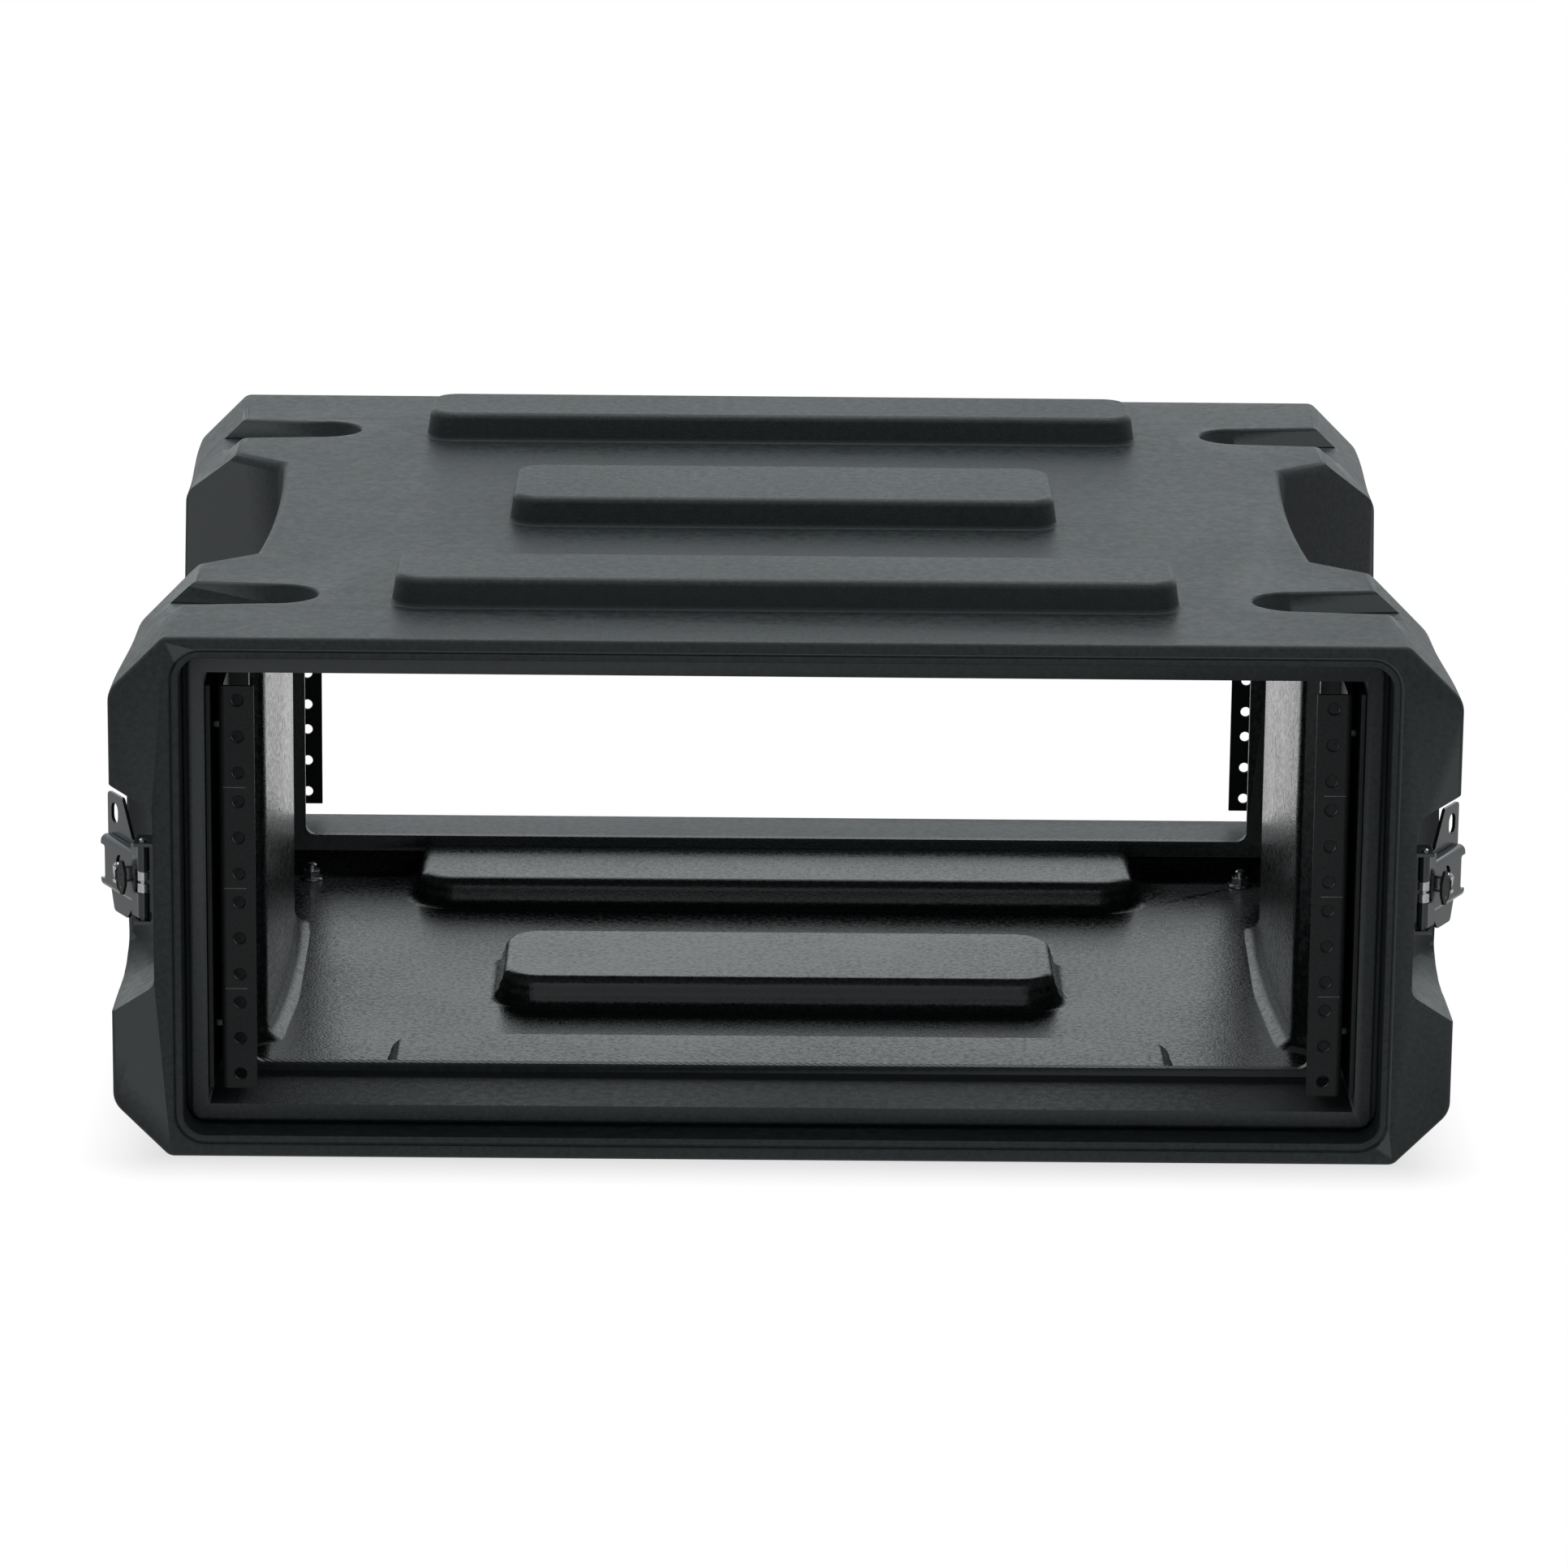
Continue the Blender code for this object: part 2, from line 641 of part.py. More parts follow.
def tongue_outline(outer, tip, wide, narrow, run):
    """Plan of a slot: two edges that draw together inwards and end in half an oval."""
    outline = [Vector((outer, -wide))]
    for step in range(9):
        angle = math.pi * step / 8 - math.pi / 2
        outline.append(Vector((tip + run * (1 - math.cos(angle)), narrow * math.sin(angle))))
    return outline + [Vector((outer, wide))]


def foot_slot(side, end, inset):
    """Hollow in a top corner that takes a foot of the case above; it runs out through the chamfer."""
    sections = []
    floor = BODY_TOP - SLOT_DEPTH - inset
    for height, draft in ((BODY_TOP + WALL, 0.0), (BODY_TOP - inset, 0.0), (floor, SLOT_DRAFT)):
        grow = inset - draft
        outline = tongue_outline(HALF_WIDTH + 2 * WALL, SLOT_TIP_X - grow, SLOT_OUTER_WIDTH / 2 + grow,
                                 SLOT_TIP_WIDTH / 2 + grow, SLOT_TIP_RUN + grow)
        sections.append((height, [(side * p.x, p.y - end * FOOT_Y) for p in outline]))
    return lofted(f"slot_{side}_{end}", "z", sections)


def seat_outline(grow, radius):
    """Rounded rectangle that follows the rail pocket at a distance outside it."""
    return rounded_rectangle(POCKET_HALF_WIDTH + grow, POCKET_HALF_HEIGHT + grow, radius, 3, (0.0, BODY_MIDDLE))


def seat_plug(end, inset):
    """Stepped cut that leaves the lid's seat: a small step, a rounded ridge and the seal groove."""
    groove_out = LIP_WIDTH + SEAL_GROOVE_WIDTH
    ridge_out = groove_out + RIDGE_WIDTH / 2
    corner = SEAT_CORNER_RADIUS
    steps = ((-2 * WALL, SEAT_WIDTH, corner + 2 * SEAT_STEP), (SEAT_STEP, SEAT_WIDTH, corner + 2 * SEAT_STEP),
             (SEAT_STEP, ridge_out, corner + SEAT_STEP), (2 * SEAT_STEP, groove_out, corner),
             (HALF_DEPTH - LIP_FACE + SEAL_GROOVE_DEPTH, groove_out, corner))
    sections = []
    for depth, out, radius in steps:
        behind = depth + inset if depth > 0 else depth
        sections.append((-end * (HALF_DEPTH - behind), seat_outline(out + inset, radius + inset)))
    return lofted(f"seat_{end}", "y", sections)


def lip_block(end, inset):
    """Block that becomes the lip inside the seal groove once the pocket is cut through it."""
    outline = seat_outline(LIP_WIDTH - inset, LIP_CORNER_RADIUS)
    front = -end * (LIP_FACE - inset)
    back = -end * (LIP_FACE - SEAL_GROOVE_DEPTH - 3 * WALL)
    return prism(f"lip_{end}", "y", outline, front, back)


def rail_pocket(end, inset):
    """Square pocket behind the lip that holds the pair of rails."""
    half_u = POCKET_HALF_WIDTH + inset
    half_v = POCKET_HALF_HEIGHT + inset
    low = (-half_u, -end * (HALF_DEPTH + WALL), BODY_MIDDLE - half_v)
    high = (half_u, -end * (POCKET_BACK - inset), BODY_MIDDLE + half_v)
    return box(f"pocket_{end}", low, high)


def body_form(name, inset):
    """The body's outer form, moved inwards everywhere by the inset."""
    form = body_block(name, inset)
    joined(form, *stacking_ribs(inset))
    cut(form, *stacking_grooves(inset))
    for _, side in SIDES:
        cut(form, handle_recess(side, inset))
        for _, end in ENDS:
            cut(form, latch_scoop(side, end, inset), foot_slot(side, end, inset))
    for _, end in ENDS:
        cut(form, seat_plug(end, inset))
        joined(form, lip_block(end, inset))
        cut(form, rail_pocket(end, inset))
    return form


def routed_opening(end):
    """Cut through the pocket's back wall that opens the inside of the case."""
    outline = rounded_rectangle(POCKET_HALF_WIDTH - OPENING_RIM, POCKET_HALF_HEIGHT - OPENING_RIM_TOP,
                                OPENING_CORNER_RADIUS, 4, (0.0, BODY_MIDDLE))
    middle = -end * (POCKET_BACK - WALL / 2)
    return prism(f"opening_{end}", "y", outline, middle - WALL, middle + WALL)


def rail_bolt_heights():
    """Heights of the two bolts of a rail."""
    return (("upper", BODY_MIDDLE + RAIL_BOLT_SPREAD), ("lower", BODY_MIDDLE - RAIL_BOLT_SPREAD))


def bolt_drill(name, axis, u, v, low, high):
    """Drill for a bolt's clearance hole."""
    return rod(name, axis, BOLT_RADIUS + HOLE_SLACK, 8, low, high, (u, v))


def case_shell():
    """Hollow one-piece shell with its routed openings and drilled holes."""
    outer = body_form("shell_form", 0.0)
    inner = body_form("shell_hollow", WALL)
    cut(outer, inner)
    for end_name, end in ENDS:
        cut(outer, routed_opening(end))
        for side_name, side in SIDES:
            cut(outer, bolt_drill(f"foot_drill_{end_name}_{side_name}", "z", side * FOOT_X, -end * FOOT_Y,
                                  BODY_BOTTOM - WALL, BODY_BOTTOM + 2 * WALL))
            for level, height in rail_bolt_heights():
                reach = (side * (POCKET_HALF_WIDTH - WALL / 2), side * (POCKET_HALF_WIDTH + 1.5 * WALL))
                cut(outer, bolt_drill(f"rail_drill_{end_name}_{side_name}_{level}", "x",
                                      -end * (RAIL_FACE - RAIL_BOLT_BACK), height, *reach))
    mesh = bpy.data.meshes.new_from_object(outer.evaluated_get(bpy.context.evaluated_depsgraph_get()))
    for spent in list(CUTTERS.objects):
        bpy.data.objects.remove(spent, do_unlink=True)
    add_object("case_shell", smooth(mesh, 30.0), "shell")


# ---- rack rails ------------------------------------------------------------------------------
def rail_section():
    """Plan of the front right rail: flange, web and a leg folded back along the pocket's wall."""
    face = -RAIL_FACE + RAIL_STEEL / 2
    web = RAIL_INNER_X + RAIL_FLANGE - RAIL_STEEL / 2
    leg = web + RAIL_STEEL + RAIL_FOLD_GAP
    back = -RAIL_FACE + RAIL_WEB_DEPTH
    path = [(RAIL_INNER_X, face), (web, face), (web, back), (leg, back), (leg, -RAIL_FACE + RAIL_STEEL / 4)]
    return sheet_outline(path, RAIL_STEEL, RAIL_BEND_RADIUS)


def rail_mesh():
    """Front right rail with its tapped holes and the holes for its two bolts."""
    rail = prism("rail_blank", "z", rail_section(), RAIL_BOTTOM, RAIL_BOTTOM + RAIL_HEIGHT)
    column = HOLE_COLUMNS_APART / 2
    for unit in range(RACK_UNITS):
        for number, height in enumerate(UNIT_HOLE_HEIGHTS):
            centre = (column, RAIL_BOTTOM + unit * UNIT_HEIGHT + height)
            cut(rail, rod(f"rack_hole_{unit}_{number}", "y", RACK_HOLE_DIAMETER / 2, 8, -RAIL_FACE - WALL,
                          -RAIL_FACE + WALL, centre))
    for level, height in rail_bolt_heights():
        drill = bolt_drill(f"web_hole_{level}", "x", -RAIL_FACE + RAIL_BOLT_BACK, height,
                           RAIL_INNER_X, POCKET_HALF_WIDTH + WALL)
        cut(rail, drill)
    return smooth(settled(rail))


def rail_bolt_mesh():
    """Button-head bolt with its nut run on, lying along X with the bolt's axis at the origin."""
    under_head = RAIL_INNER_X + RAIL_FLANGE - RAIL_STEEL - CLEARANCE
    head_top = under_head - BOLT_HEAD_HEIGHT
    nut_face = POCKET_HALF_WIDTH + WALL + CLEARANCE
    end = nut_face + NUT_HEIGHT + BOLT_END
    profile = [(0.0, end), (BOLT_RADIUS, end), (BOLT_RADIUS, under_head), (BOLT_HEAD_RADIUS, under_head),
               (BOLT_HEAD_RADIUS, head_top + BOLT_HEAD_HEIGHT / 2), (BOLT_HEAD_RADIUS * BUTTON_TOP, head_top),
               (0.0, head_top)]
    bolt = turned("bolt_blank", profile, 8)
    nut = rod("bolt_nut", "z", NUT_RADIUS, 6, nut_face, nut_face + NUT_HEIGHT)
    mesh = settled(joined(bolt, nut))
    mesh.transform(FRAMES["x"])
    return smooth(mesh)


def add_rails():
    """Four rails, each with two bolts."""
    rail = rail_mesh()
    bolt = rail_bolt_mesh()
    for end_name, end in ENDS:
        for side_name, side in SIDES:
            add_object(f"rail_{end_name}_{side_name}", mirrored_copy(rail, side, end), "steel")
            for level, height in rail_bolt_heights():
                fastener = add_object(f"rail_bolt_{end_name}_{side_name}_{level}", mirrored_copy(bolt, side, end),
                                      "steel")
                fastener.location = (0.0, -end * (RAIL_FACE - RAIL_BOLT_BACK), height)


# ---- feet ------------------------------------------------------------------------------------
def foot_mesh():
    """Rubber foot with a recess underneath for the bolt's head."""
    top = FOOT_HEIGHT - CLEARANCE
    bore = BOLT_RADIUS + HOLE_SLACK
    turn = FOOT_EDGE * (1 - HALF_TURN)
    profile = [(bore, top), (FOOT_RADIUS, top), (FOOT_RADIUS, FOOT_EDGE), (FOOT_RADIUS - turn, turn),
               (FOOT_RADIUS - FOOT_EDGE, 0.0), (FOOT_RECESS_RADIUS, 0.0),
               (FOOT_RECESS_RADIUS, FOOT_RECESS_DEPTH), (bore, FOOT_RECESS_DEPTH)]
    return smooth(settled(turned("foot_blank", profile, 16)))


def foot_bolt_mesh():
    """Bolt that comes up through the foot and the floor of the shell."""
    under = FOOT_RECESS_DEPTH - CLEARANCE
    end = BODY_BOTTOM + WALL + NUT_HEIGHT + 2 * BOLT_END
    profile = [(0.0, end), (BOLT_RADIUS * BUTTON_TOP, end), (BOLT_RADIUS, end - BOLT_POINT),
               (BOLT_RADIUS, under),
               (BOLT_HEAD_RADIUS, under), (BOLT_HEAD_RADIUS, under - BOLT_HEAD_HEIGHT / 2),
               (BOLT_HEAD_RADIUS * BUTTON_TOP, under - BOLT_HEAD_HEIGHT), (0.0, under - BOLT_HEAD_HEIGHT)]
    return smooth(settled(turned("foot_bolt_blank", profile, 10)))


def foot_nut_mesh():
    """Hexagonal flange nut on the floor inside the case."""
    low = BODY_BOTTOM + WALL + CLEARANCE
    brim = low + FLANGE_THICKNESS
    flange = rod("nut_flange", "z", FLANGE_NUT_RADIUS, 12, low, brim, end_radius=FLANGE_NUT_RADIUS * 0.9)
    hexagon = rod("nut_hexagon", "z", NUT_RADIUS, 6, brim - FLANGE_THICKNESS / 2, low + NUT_HEIGHT)
    bore = rod("nut_bore", "z", BOLT_RADIUS + CLEARANCE, 10, low - WALL, low + 2 * WALL)
    return smooth(settled(cut(joined(flange, hexagon), bore)), 25.0)


def add_feet():
    """Four feet with their bolts and nuts."""
    parts = (("foot", foot_mesh(), "rubber"), ("foot_bolt", foot_bolt_mesh(), "zinc"),
             ("foot_nut", foot_nut_mesh(), "zinc"))
    for end_name, end in ENDS:
        for side_name, side in SIDES:
            for kind, mesh, material in parts:
                piece = add_object(f"{kind}_{end_name}_{side_name}", mesh.copy(), material)
                piece.location = (side * FOOT_X, -end * FOOT_Y, 0.0)


# ---- latches: x is away from the case, y along the plate from its hinge, z up ----------------
COVER_FACE = BARREL_RADIUS - 0.0002
COVER_MIDDLE = COVER_FACE - LATCH_STEEL / 2
HASP_FACE = COVER_FACE - COVER_DEPTH - CLEARANCE
EAR_MIDDLE = BRACKET_HEIGHT / 2 - LATCH_STEEL / 2
KNUCKLE_END = BRACKET_HEIGHT / 2 - LATCH_STEEL - 0.0005
KNUCKLE_START = PIN_MIDDLE_LENGTH / 2 + CLEARANCE
PIN_BORE = HINGE_PIN_RADIUS + CLEARANCE
WING_PIVOT_OUT = COVER_FACE + 0.0032
WING_PIVOT_ALONG = -HUB_RADIUS - 0.0004


def latch_bracket_mesh():
    """Folded bracket on the scoop's floor, with an ear above and below the hinge."""
    base = -HINGE_OUT + CLEARANCE + LATCH_STEEL / 2
    ear_out = HINGE_PIN_RADIUS + EAR_PAST_PIN
    path = [(ear_out, EAR_MIDDLE), (base, EAR_MIDDLE), (base, -EAR_MIDDLE), (ear_out, -EAR_MIDDLE)]
    section = sheet_outline(path, LATCH_STEEL, LATCH_STEEL * 0.8)
    bracket = prism("bracket_blank", "y", section, -EAR_REACH, BRACKET_LENGTH - EAR_REACH)
    beyond = BRACKET_HEIGHT
    trims = [box(f"ear_trim_{sign}", (base - beyond, 2 * EAR_REACH, sign * EAR_MIDDLE - LATCH_STEEL),
                 (beyond, BRACKET_LENGTH, sign * EAR_MIDDLE + LATCH_STEEL)) for sign in (-1, 1)]
    drill = rod("bracket_drill", "z", PIN_BORE, 10, -beyond, beyond)
    return smooth(settled(cut(bracket, drill, *trims)))


def latch_pin_mesh():
    """Hinge pin, thick and bare between the two knuckles, with a thin groove around its middle."""
    end = BRACKET_HEIGHT / 2 + PIN_END
    thick = PIN_MIDDLE_LENGTH / 2
    groove = PIN_GROOVE_WIDTH / 2
    upper = [(0.0, end), (HINGE_PIN_RADIUS, end), (HINGE_PIN_RADIUS, thick), (PIN_MIDDLE_RADIUS, thick),
             (PIN_MIDDLE_RADIUS, groove), (PIN_MIDDLE_RADIUS - PIN_GROOVE_DEPTH, groove)]
    lower = [(radius, -height) for radius, height in reversed(upper)]
    return smooth(settled(turned("pin_blank", upper + lower, 10)))


def latch_cover_mesh():
    """Swinging cover: a channel with rounded edges, a wider leaf at the hinge and two knuckles."""
    flange = COVER_HEIGHT / 2 - LATCH_STEEL / 2
    tip = COVER_FACE - COVER_DEPTH
    path = [(tip, flange), (COVER_MIDDLE, flange), (COVER_MIDDLE, -flange), (tip, -flange)]
    section = sheet_outline(path, LATCH_STEEL, COVER_BEND_RADIUS, 2)
    cover = prism("cover_blank", "y", section, COVER_START, COVER_LENGTH)
    leaf_low = COVER_MIDDLE - LATCH_STEEL / 2
    leaf_end = COVER_START + LATCH_STEEL * 0.75
    leaf = box("leaf", (leaf_low, 0.0, -KNUCKLE_END), (COVER_FACE, leaf_end, KNUCKLE_END))
    joined(cover, leaf)
    for name, low, high in (("upper", KNUCKLE_START, KNUCKLE_END), ("lower", -KNUCKLE_END, -KNUCKLE_START)):
        joined(cover, rod(f"knuckle_{name}", "z", BARREL_RADIUS, 10, low, high))
    window = box("leaf_window", (-BEYOND, -BEYOND, -KNUCKLE_START), (BEYOND, WINDOW_LENGTH, KNUCKLE_START))
    bore = rod("knuckle_bore", "z", PIN_BORE, 10, -BRACKET_HEIGHT, BRACKET_HEIGHT)
    notch = box("end_notch", (tip - WALL, COVER_LENGTH - END_NOTCH_LENGTH, -END_NOTCH_HEIGHT / 2),
                (COVER_FACE + WALL, COVER_LENGTH + WALL, END_NOTCH_HEIGHT / 2))
    eye = prism("eye", "x", oval_outline(EYE_WIDTH / 2, EYE_HEIGHT / 2, 3, (HUB_ALONG, -EYE_DROP)), tip, BEYOND)
    return smooth(settled(cut(cover, window, bore, notch, eye)))


def hasp_outline():
    """Side view of the padlock plate: a tall tab above and a short round lobe below the cover."""
    near = COVER_START + HASP_START
    height = (COVER_HEIGHT - LATCH_STEEL) / 2
    lobe_far = HASP_LENGTH - LOBE_FROM_END
    corners = [(near, -height), (near + HASP_START, -height - LATCH_STEEL), (lobe_far - LOBE_WIDTH, -TAB_DROP),
               (lobe_far, -TAB_DROP), (HASP_LENGTH - LATCH_STEEL, -height), (HASP_LENGTH, height),
               (HASP_LENGTH, TAB_RISE), (HASP_LENGTH - TAB_WIDTH, TAB_RISE),
               (near + 2 * HASP_START, height + 2 * LATCH_STEEL), (near, height)]
    return rounded_path(corners, HASP_CORNER_RADIUS, 2, closed=True)


def latch_hasp_mesh():
    """Flat plate behind the cover, with the hole for a padlock in its tab."""
    plate = prism("hasp_blank", "x", hasp_outline(), HASP_FACE - LATCH_STEEL, HASP_FACE)
    hole_centre = (HASP_LENGTH - PADLOCK_HOLE_FROM_END, TAB_RISE - PADLOCK_HOLE_FROM_TOP)
    hole = oval_outline(PADLOCK_HOLE_WIDTH / 2, PADLOCK_HOLE_HEIGHT / 2, 3, hole_centre)
    low, high = HASP_FACE - 2 * WALL, HASP_FACE + 2 * WALL
    cut(plate, prism("padlock_hole", "x", hole, low, high),
        rod("shaft_hole", "x", HUB_SHAFT_RADIUS + HOLE_SLACK, 10, low, high, (HUB_ALONG, 0.0)))
    return smooth(settled(plate))


def latch_hub_mesh():
    """Turning hub: a slotted head, the shaft, a cam behind the plates and two ears for the wing."""
    head_low = COVER_FACE + CLEARANCE
    head_high = head_low + HUB_HEAD
    cam_face = HASP_FACE - LATCH_STEEL - CLEARANCE
    head = rod("hub_head", "x", HUB_RADIUS, 12, head_low, head_high)
    shaft = rod("hub_shaft", "x", HUB_SHAFT_RADIUS, 8, cam_face - LATCH_STEEL / 2, head_high - HUB_HEAD / 3)
    cam = prism("hub_cam", "x", oval_outline(CAM_WIDTH / 2, CAM_LENGTH / 2, 3), cam_face - LATCH_STEEL, cam_face)
    joined(head, shaft, cam)
    for name, low in (("upper", WING_EAR_INNER), ("lower", -WING_EAR_INNER - WING_STEEL)):
        ear = box(f"wing_ear_{name}", (head_low, WING_PIVOT_ALONG - WING_BARREL_RADIUS, low),
                  (WING_PIVOT_OUT + WING_BARREL_RADIUS, -HUB_RADIUS / 2, low + WING_STEEL))
        joined(head, ear)
    slot = box("hub_slot", (head_high - HUB_SLOT_DEPTH, -HUB_SLOT_WIDTH / 2, -HUB_RADIUS),
               (head_high + HUB_SLOT_DEPTH, HUB_SLOT_WIDTH / 2, HUB_RADIUS))
    return smooth(settled(cut(head, slot)))


def wing_outline():
    """Leaf shape of the wing, from its pivot towards the hinge."""
    half = WING_HEIGHT / 2
    neck = WING_EAR_INNER - 2 * CLEARANCE
    upper = [(0.0, neck), (-WING_NECK, neck), (-WING_NECK, neck + WING_SHOULDER), (-0.45 * WING_REACH, half),
             (-0.70 * WING_REACH, half), (-WING_REACH, WING_TIP_HALF)]
    lower = [(along, -height) for along, height in reversed(upper)]
    return rounded_path(upper + lower, WING_EDGE_RADIUS, 1, closed=True)


def latch_wing_mesh():
    """Folding wing with a long slit, and the small barrel that it turns on."""
    half = WING_STEEL / 2
    leaf = prism("wing_leaf", "x", wing_outline(), -half, half)
    reach = WING_EAR_INNER - CLEARANCE
    barrel = rod("wing_barrel", "z", WING_BARREL_RADIUS, 8, -reach, reach)
    slit = oval_outline(WING_SLOT_WIDTH / 2, WING_SLOT_HEIGHT / 2, 1, (-0.58 * WING_REACH, 0.0))
    joined(leaf, barrel)
    return smooth(settled(cut(leaf, prism("wing_slit", "x", slit, -BEYOND, BEYOND))))


def add_latches():
    """Four latches, each swung a little way out of its scoop on its hinge."""
    fixed = (("latch_bracket", latch_bracket_mesh(), "steel"), ("latch_pin", latch_pin_mesh(), "zinc"))
    swinging = (("latch_cover", latch_cover_mesh(), "steel", (0.0, 0.0)),
                ("latch_hasp", latch_hasp_mesh(), "steel", (0.0, 0.0)),
                ("latch_hub", latch_hub_mesh(), "steel", (0.0, HUB_ALONG)),
                ("latch_wing", latch_wing_mesh(), "steel", (WING_PIVOT_OUT, HUB_ALONG + WING_PIVOT_ALONG)))
    for end_name, end in ENDS:
        for side_name, side in SIDES:
            corner = f"{end_name}_{side_name}"
            place = (side * HINGE_X, -end * HINGE_Y, LATCH_Z)
            for kind, mesh, material in fixed:
                piece = add_object(f"{kind}_{corner}", mirrored_copy(mesh, side, end), material)
                piece.location = place
            hinge = add_empty(f"hinge_axis_{corner}", place, -side * end * math.radians(LATCH_REST_ANGLE))
            for kind, mesh, material, (out, along) in swinging:
                piece = add_object(f"{kind}_{corner}", mirrored_copy(mesh, side, end), material)
                piece.location = (side * out, end * along, 0.0)
                piece.parent = hinge


# ---- side handles: x is away from the recess wall, y along the case, z up --------------------
PLATE_BACK_X = RECESS_INNER_X + RECESS_BOW * (HANDLE_PLATE_LENGTH / 2 / RECESS_HALF_LENGTH) ** 2 + CLEARANCE
PLATE_FACE_X = PLATE_BACK_X + HANDLE_STEEL
PIVOT_X = PLATE_FACE_X + BAIL_OUT
PIVOT_Z = BODY_MIDDLE + BAIL_PIVOT_RISE
EAR_INNER_Y = BAIL_WIDTH / 2 + BAIL_PIVOT_END - EAR_THICKNESS - BAIL_END_PLAY


def handle_plate_mesh():
    """Pressed plate on the recess wall, with an ear at each end of the bail's pivot."""
    outline = rounded_rectangle(HANDLE_PLATE_LENGTH / 2, HANDLE_PLATE_HEIGHT / 2, PLATE_CORNER_RADIUS, 4,
                                (0.0, BODY_MIDDLE))
    plate = prism("plate_blank", "x", outline, PLATE_BACK_X, PLATE_FACE_X)
    ear_top = BAIL_RADIUS + EAR_ROUND_BAIL
    root = PLATE_FACE_X - HANDLE_STEEL / 2
    profile = rounded_path([(root, PIVOT_Z - EAR_HALF_FOOT), (PIVOT_X + ear_top, PIVOT_Z - ear_top),
                            (PIVOT_X + ear_top, PIVOT_Z + ear_top), (root, PIVOT_Z + EAR_HALF_FOOT)],
                           EAR_CORNER_RADIUS, 3)
    for name, low in (("rear", EAR_INNER_Y), ("front", -EAR_INNER_Y - EAR_THICKNESS)):
        joined(plate, prism(f"ear_{name}", "y", profile, low, low + EAR_THICKNESS))
    reach = EAR_INNER_Y + 2 * EAR_THICKNESS
    drill = rod("ear_drill", "y", BAIL_RADIUS + CLEARANCE, 12, -reach, reach, (PIVOT_X, PIVOT_Z))
    return smooth(settled(cut(plate, drill)))


def bail_mesh():
    """Bent rod from ear to ear, hanging from its pivot at the origin."""
    half = BAIL_WIDTH / 2
    path = [(-half - BAIL_PIVOT_END, 0.0), (-half, 0.0), (-half, -BAIL_DROP), (half, -BAIL_DROP), (half, 0.0),
            (half + BAIL_PIVOT_END, 0.0)]
    route = rounded_path(path, BAIL_BEND_RADIUS * 0.75, 3)
    curve = bpy.data.curves.new("bail_route", "CURVE")
    curve.dimensions = "3D"
    curve.bevel_depth = BAIL_RADIUS
    curve.bevel_resolution = 2
    curve.use_fill_caps = True
    spline = curve.splines.new("POLY")
    spline.points.add(len(route) - 1)
    for point, place in zip(spline.points, route):
        point.co = (0.0, place[0], place[1], 1.0)
    return welded_curve(curve)


def welded_curve(curve):
    """Closed mesh of a round curve, with its end caps welded on."""
    mesh = bpy.data.meshes.new(curve.name)
    shape = plain_mesh(bpy.data.objects.new(curve.name, curve))
    bmesh.ops.recalc_face_normals(shape, faces=shape.faces)
    shape.to_mesh(mesh)
    shape.free()
    return smooth(mesh)


def grip_mesh():
    """Rubber grip moulded round the bar, with four shallow rings, lying along Y."""
    half = BAIL_WIDTH / 2 - BAIL_BEND_RADIUS - GRIP_EDGE
    bore = BAIL_RADIUS + CLEARANCE
    outer = [(GRIP_RADIUS - GRIP_EDGE, half), (GRIP_RADIUS, half - GRIP_EDGE)]
    for ring in (1.5, 0.5, -0.5, -1.5):
        place = ring * half * GRIP_RING_STEP
        outer += [(GRIP_RADIUS, place + GRIP_RING_HALF), (GRIP_RADIUS - GRIP_RING_DEPTH, place),
                  (GRIP_RADIUS, place - GRIP_RING_HALF)]
    outer += [(GRIP_RADIUS, -half + GRIP_EDGE), (GRIP_RADIUS - GRIP_EDGE, -half)]
    mesh = settled(turned("grip_blank", [(bore, half)] + outer + [(bore, -half)], 12))
    mesh.transform(Matrix.Rotation(math.radians(90), 4, "X"))
    return smooth(mesh, 50.0)


def spring_mesh():
    """Torsion spring wound round the pivot beside the bail's leg."""
    radius = BAIL_RADIUS + SPRING_SLACK + SPRING_WIRE
    low = BAIL_WIDTH / 2 + BAIL_RADIUS + SPRING_WIRE + CLEARANCE
    high = EAR_INNER_Y - SPRING_WIRE - CLEARANCE
    count = SPRING_TURNS * 8
    curve = bpy.data.curves.new("spring_route", "CURVE")
    curve.dimensions = "3D"
    curve.bevel_depth = SPRING_WIRE
    curve.bevel_resolution = 1
    curve.use_fill_caps = True
    spline = curve.splines.new("POLY")
    spline.points.add(count)
    for index, point in enumerate(spline.points):
        angle = 2 * math.pi * index / 8
        along = low + (high - low) * index / count
        point.co = (radius * math.cos(angle), along, radius * math.sin(angle), 1.0)
    return welded_curve(curve)


def add_handles():
    """A sprung handle on each side."""
    plate = handle_plate_mesh()
    moving = (("handle_bail", bail_mesh(), "steel", 0.0), ("handle_grip", grip_mesh(), "rubber", -BAIL_DROP))
    spring = spring_mesh()
    for side_name, side in SIDES:
        add_object(f"handle_plate_{side_name}", mirrored_copy(plate, side, 1), "steel")
        pivot = add_empty(f"handle_axis_{side_name}", (side * PIVOT_X, 0.0, PIVOT_Z))
        for kind, mesh, material, height in moving:
            piece = add_object(f"{kind}_{side_name}", mirrored_copy(mesh, side, 1), material)
            piece.location = (0.0, 0.0, height)
            piece.parent = pivot
        coil = add_object(f"handle_spring_{side_name}", mirrored_copy(spring, side, 1), "zinc")
        coil.location = (side * PIVOT_X, 0.0, PIVOT_Z)


case_shell()
add_rails()
add_feet()
add_latches()
add_handles()
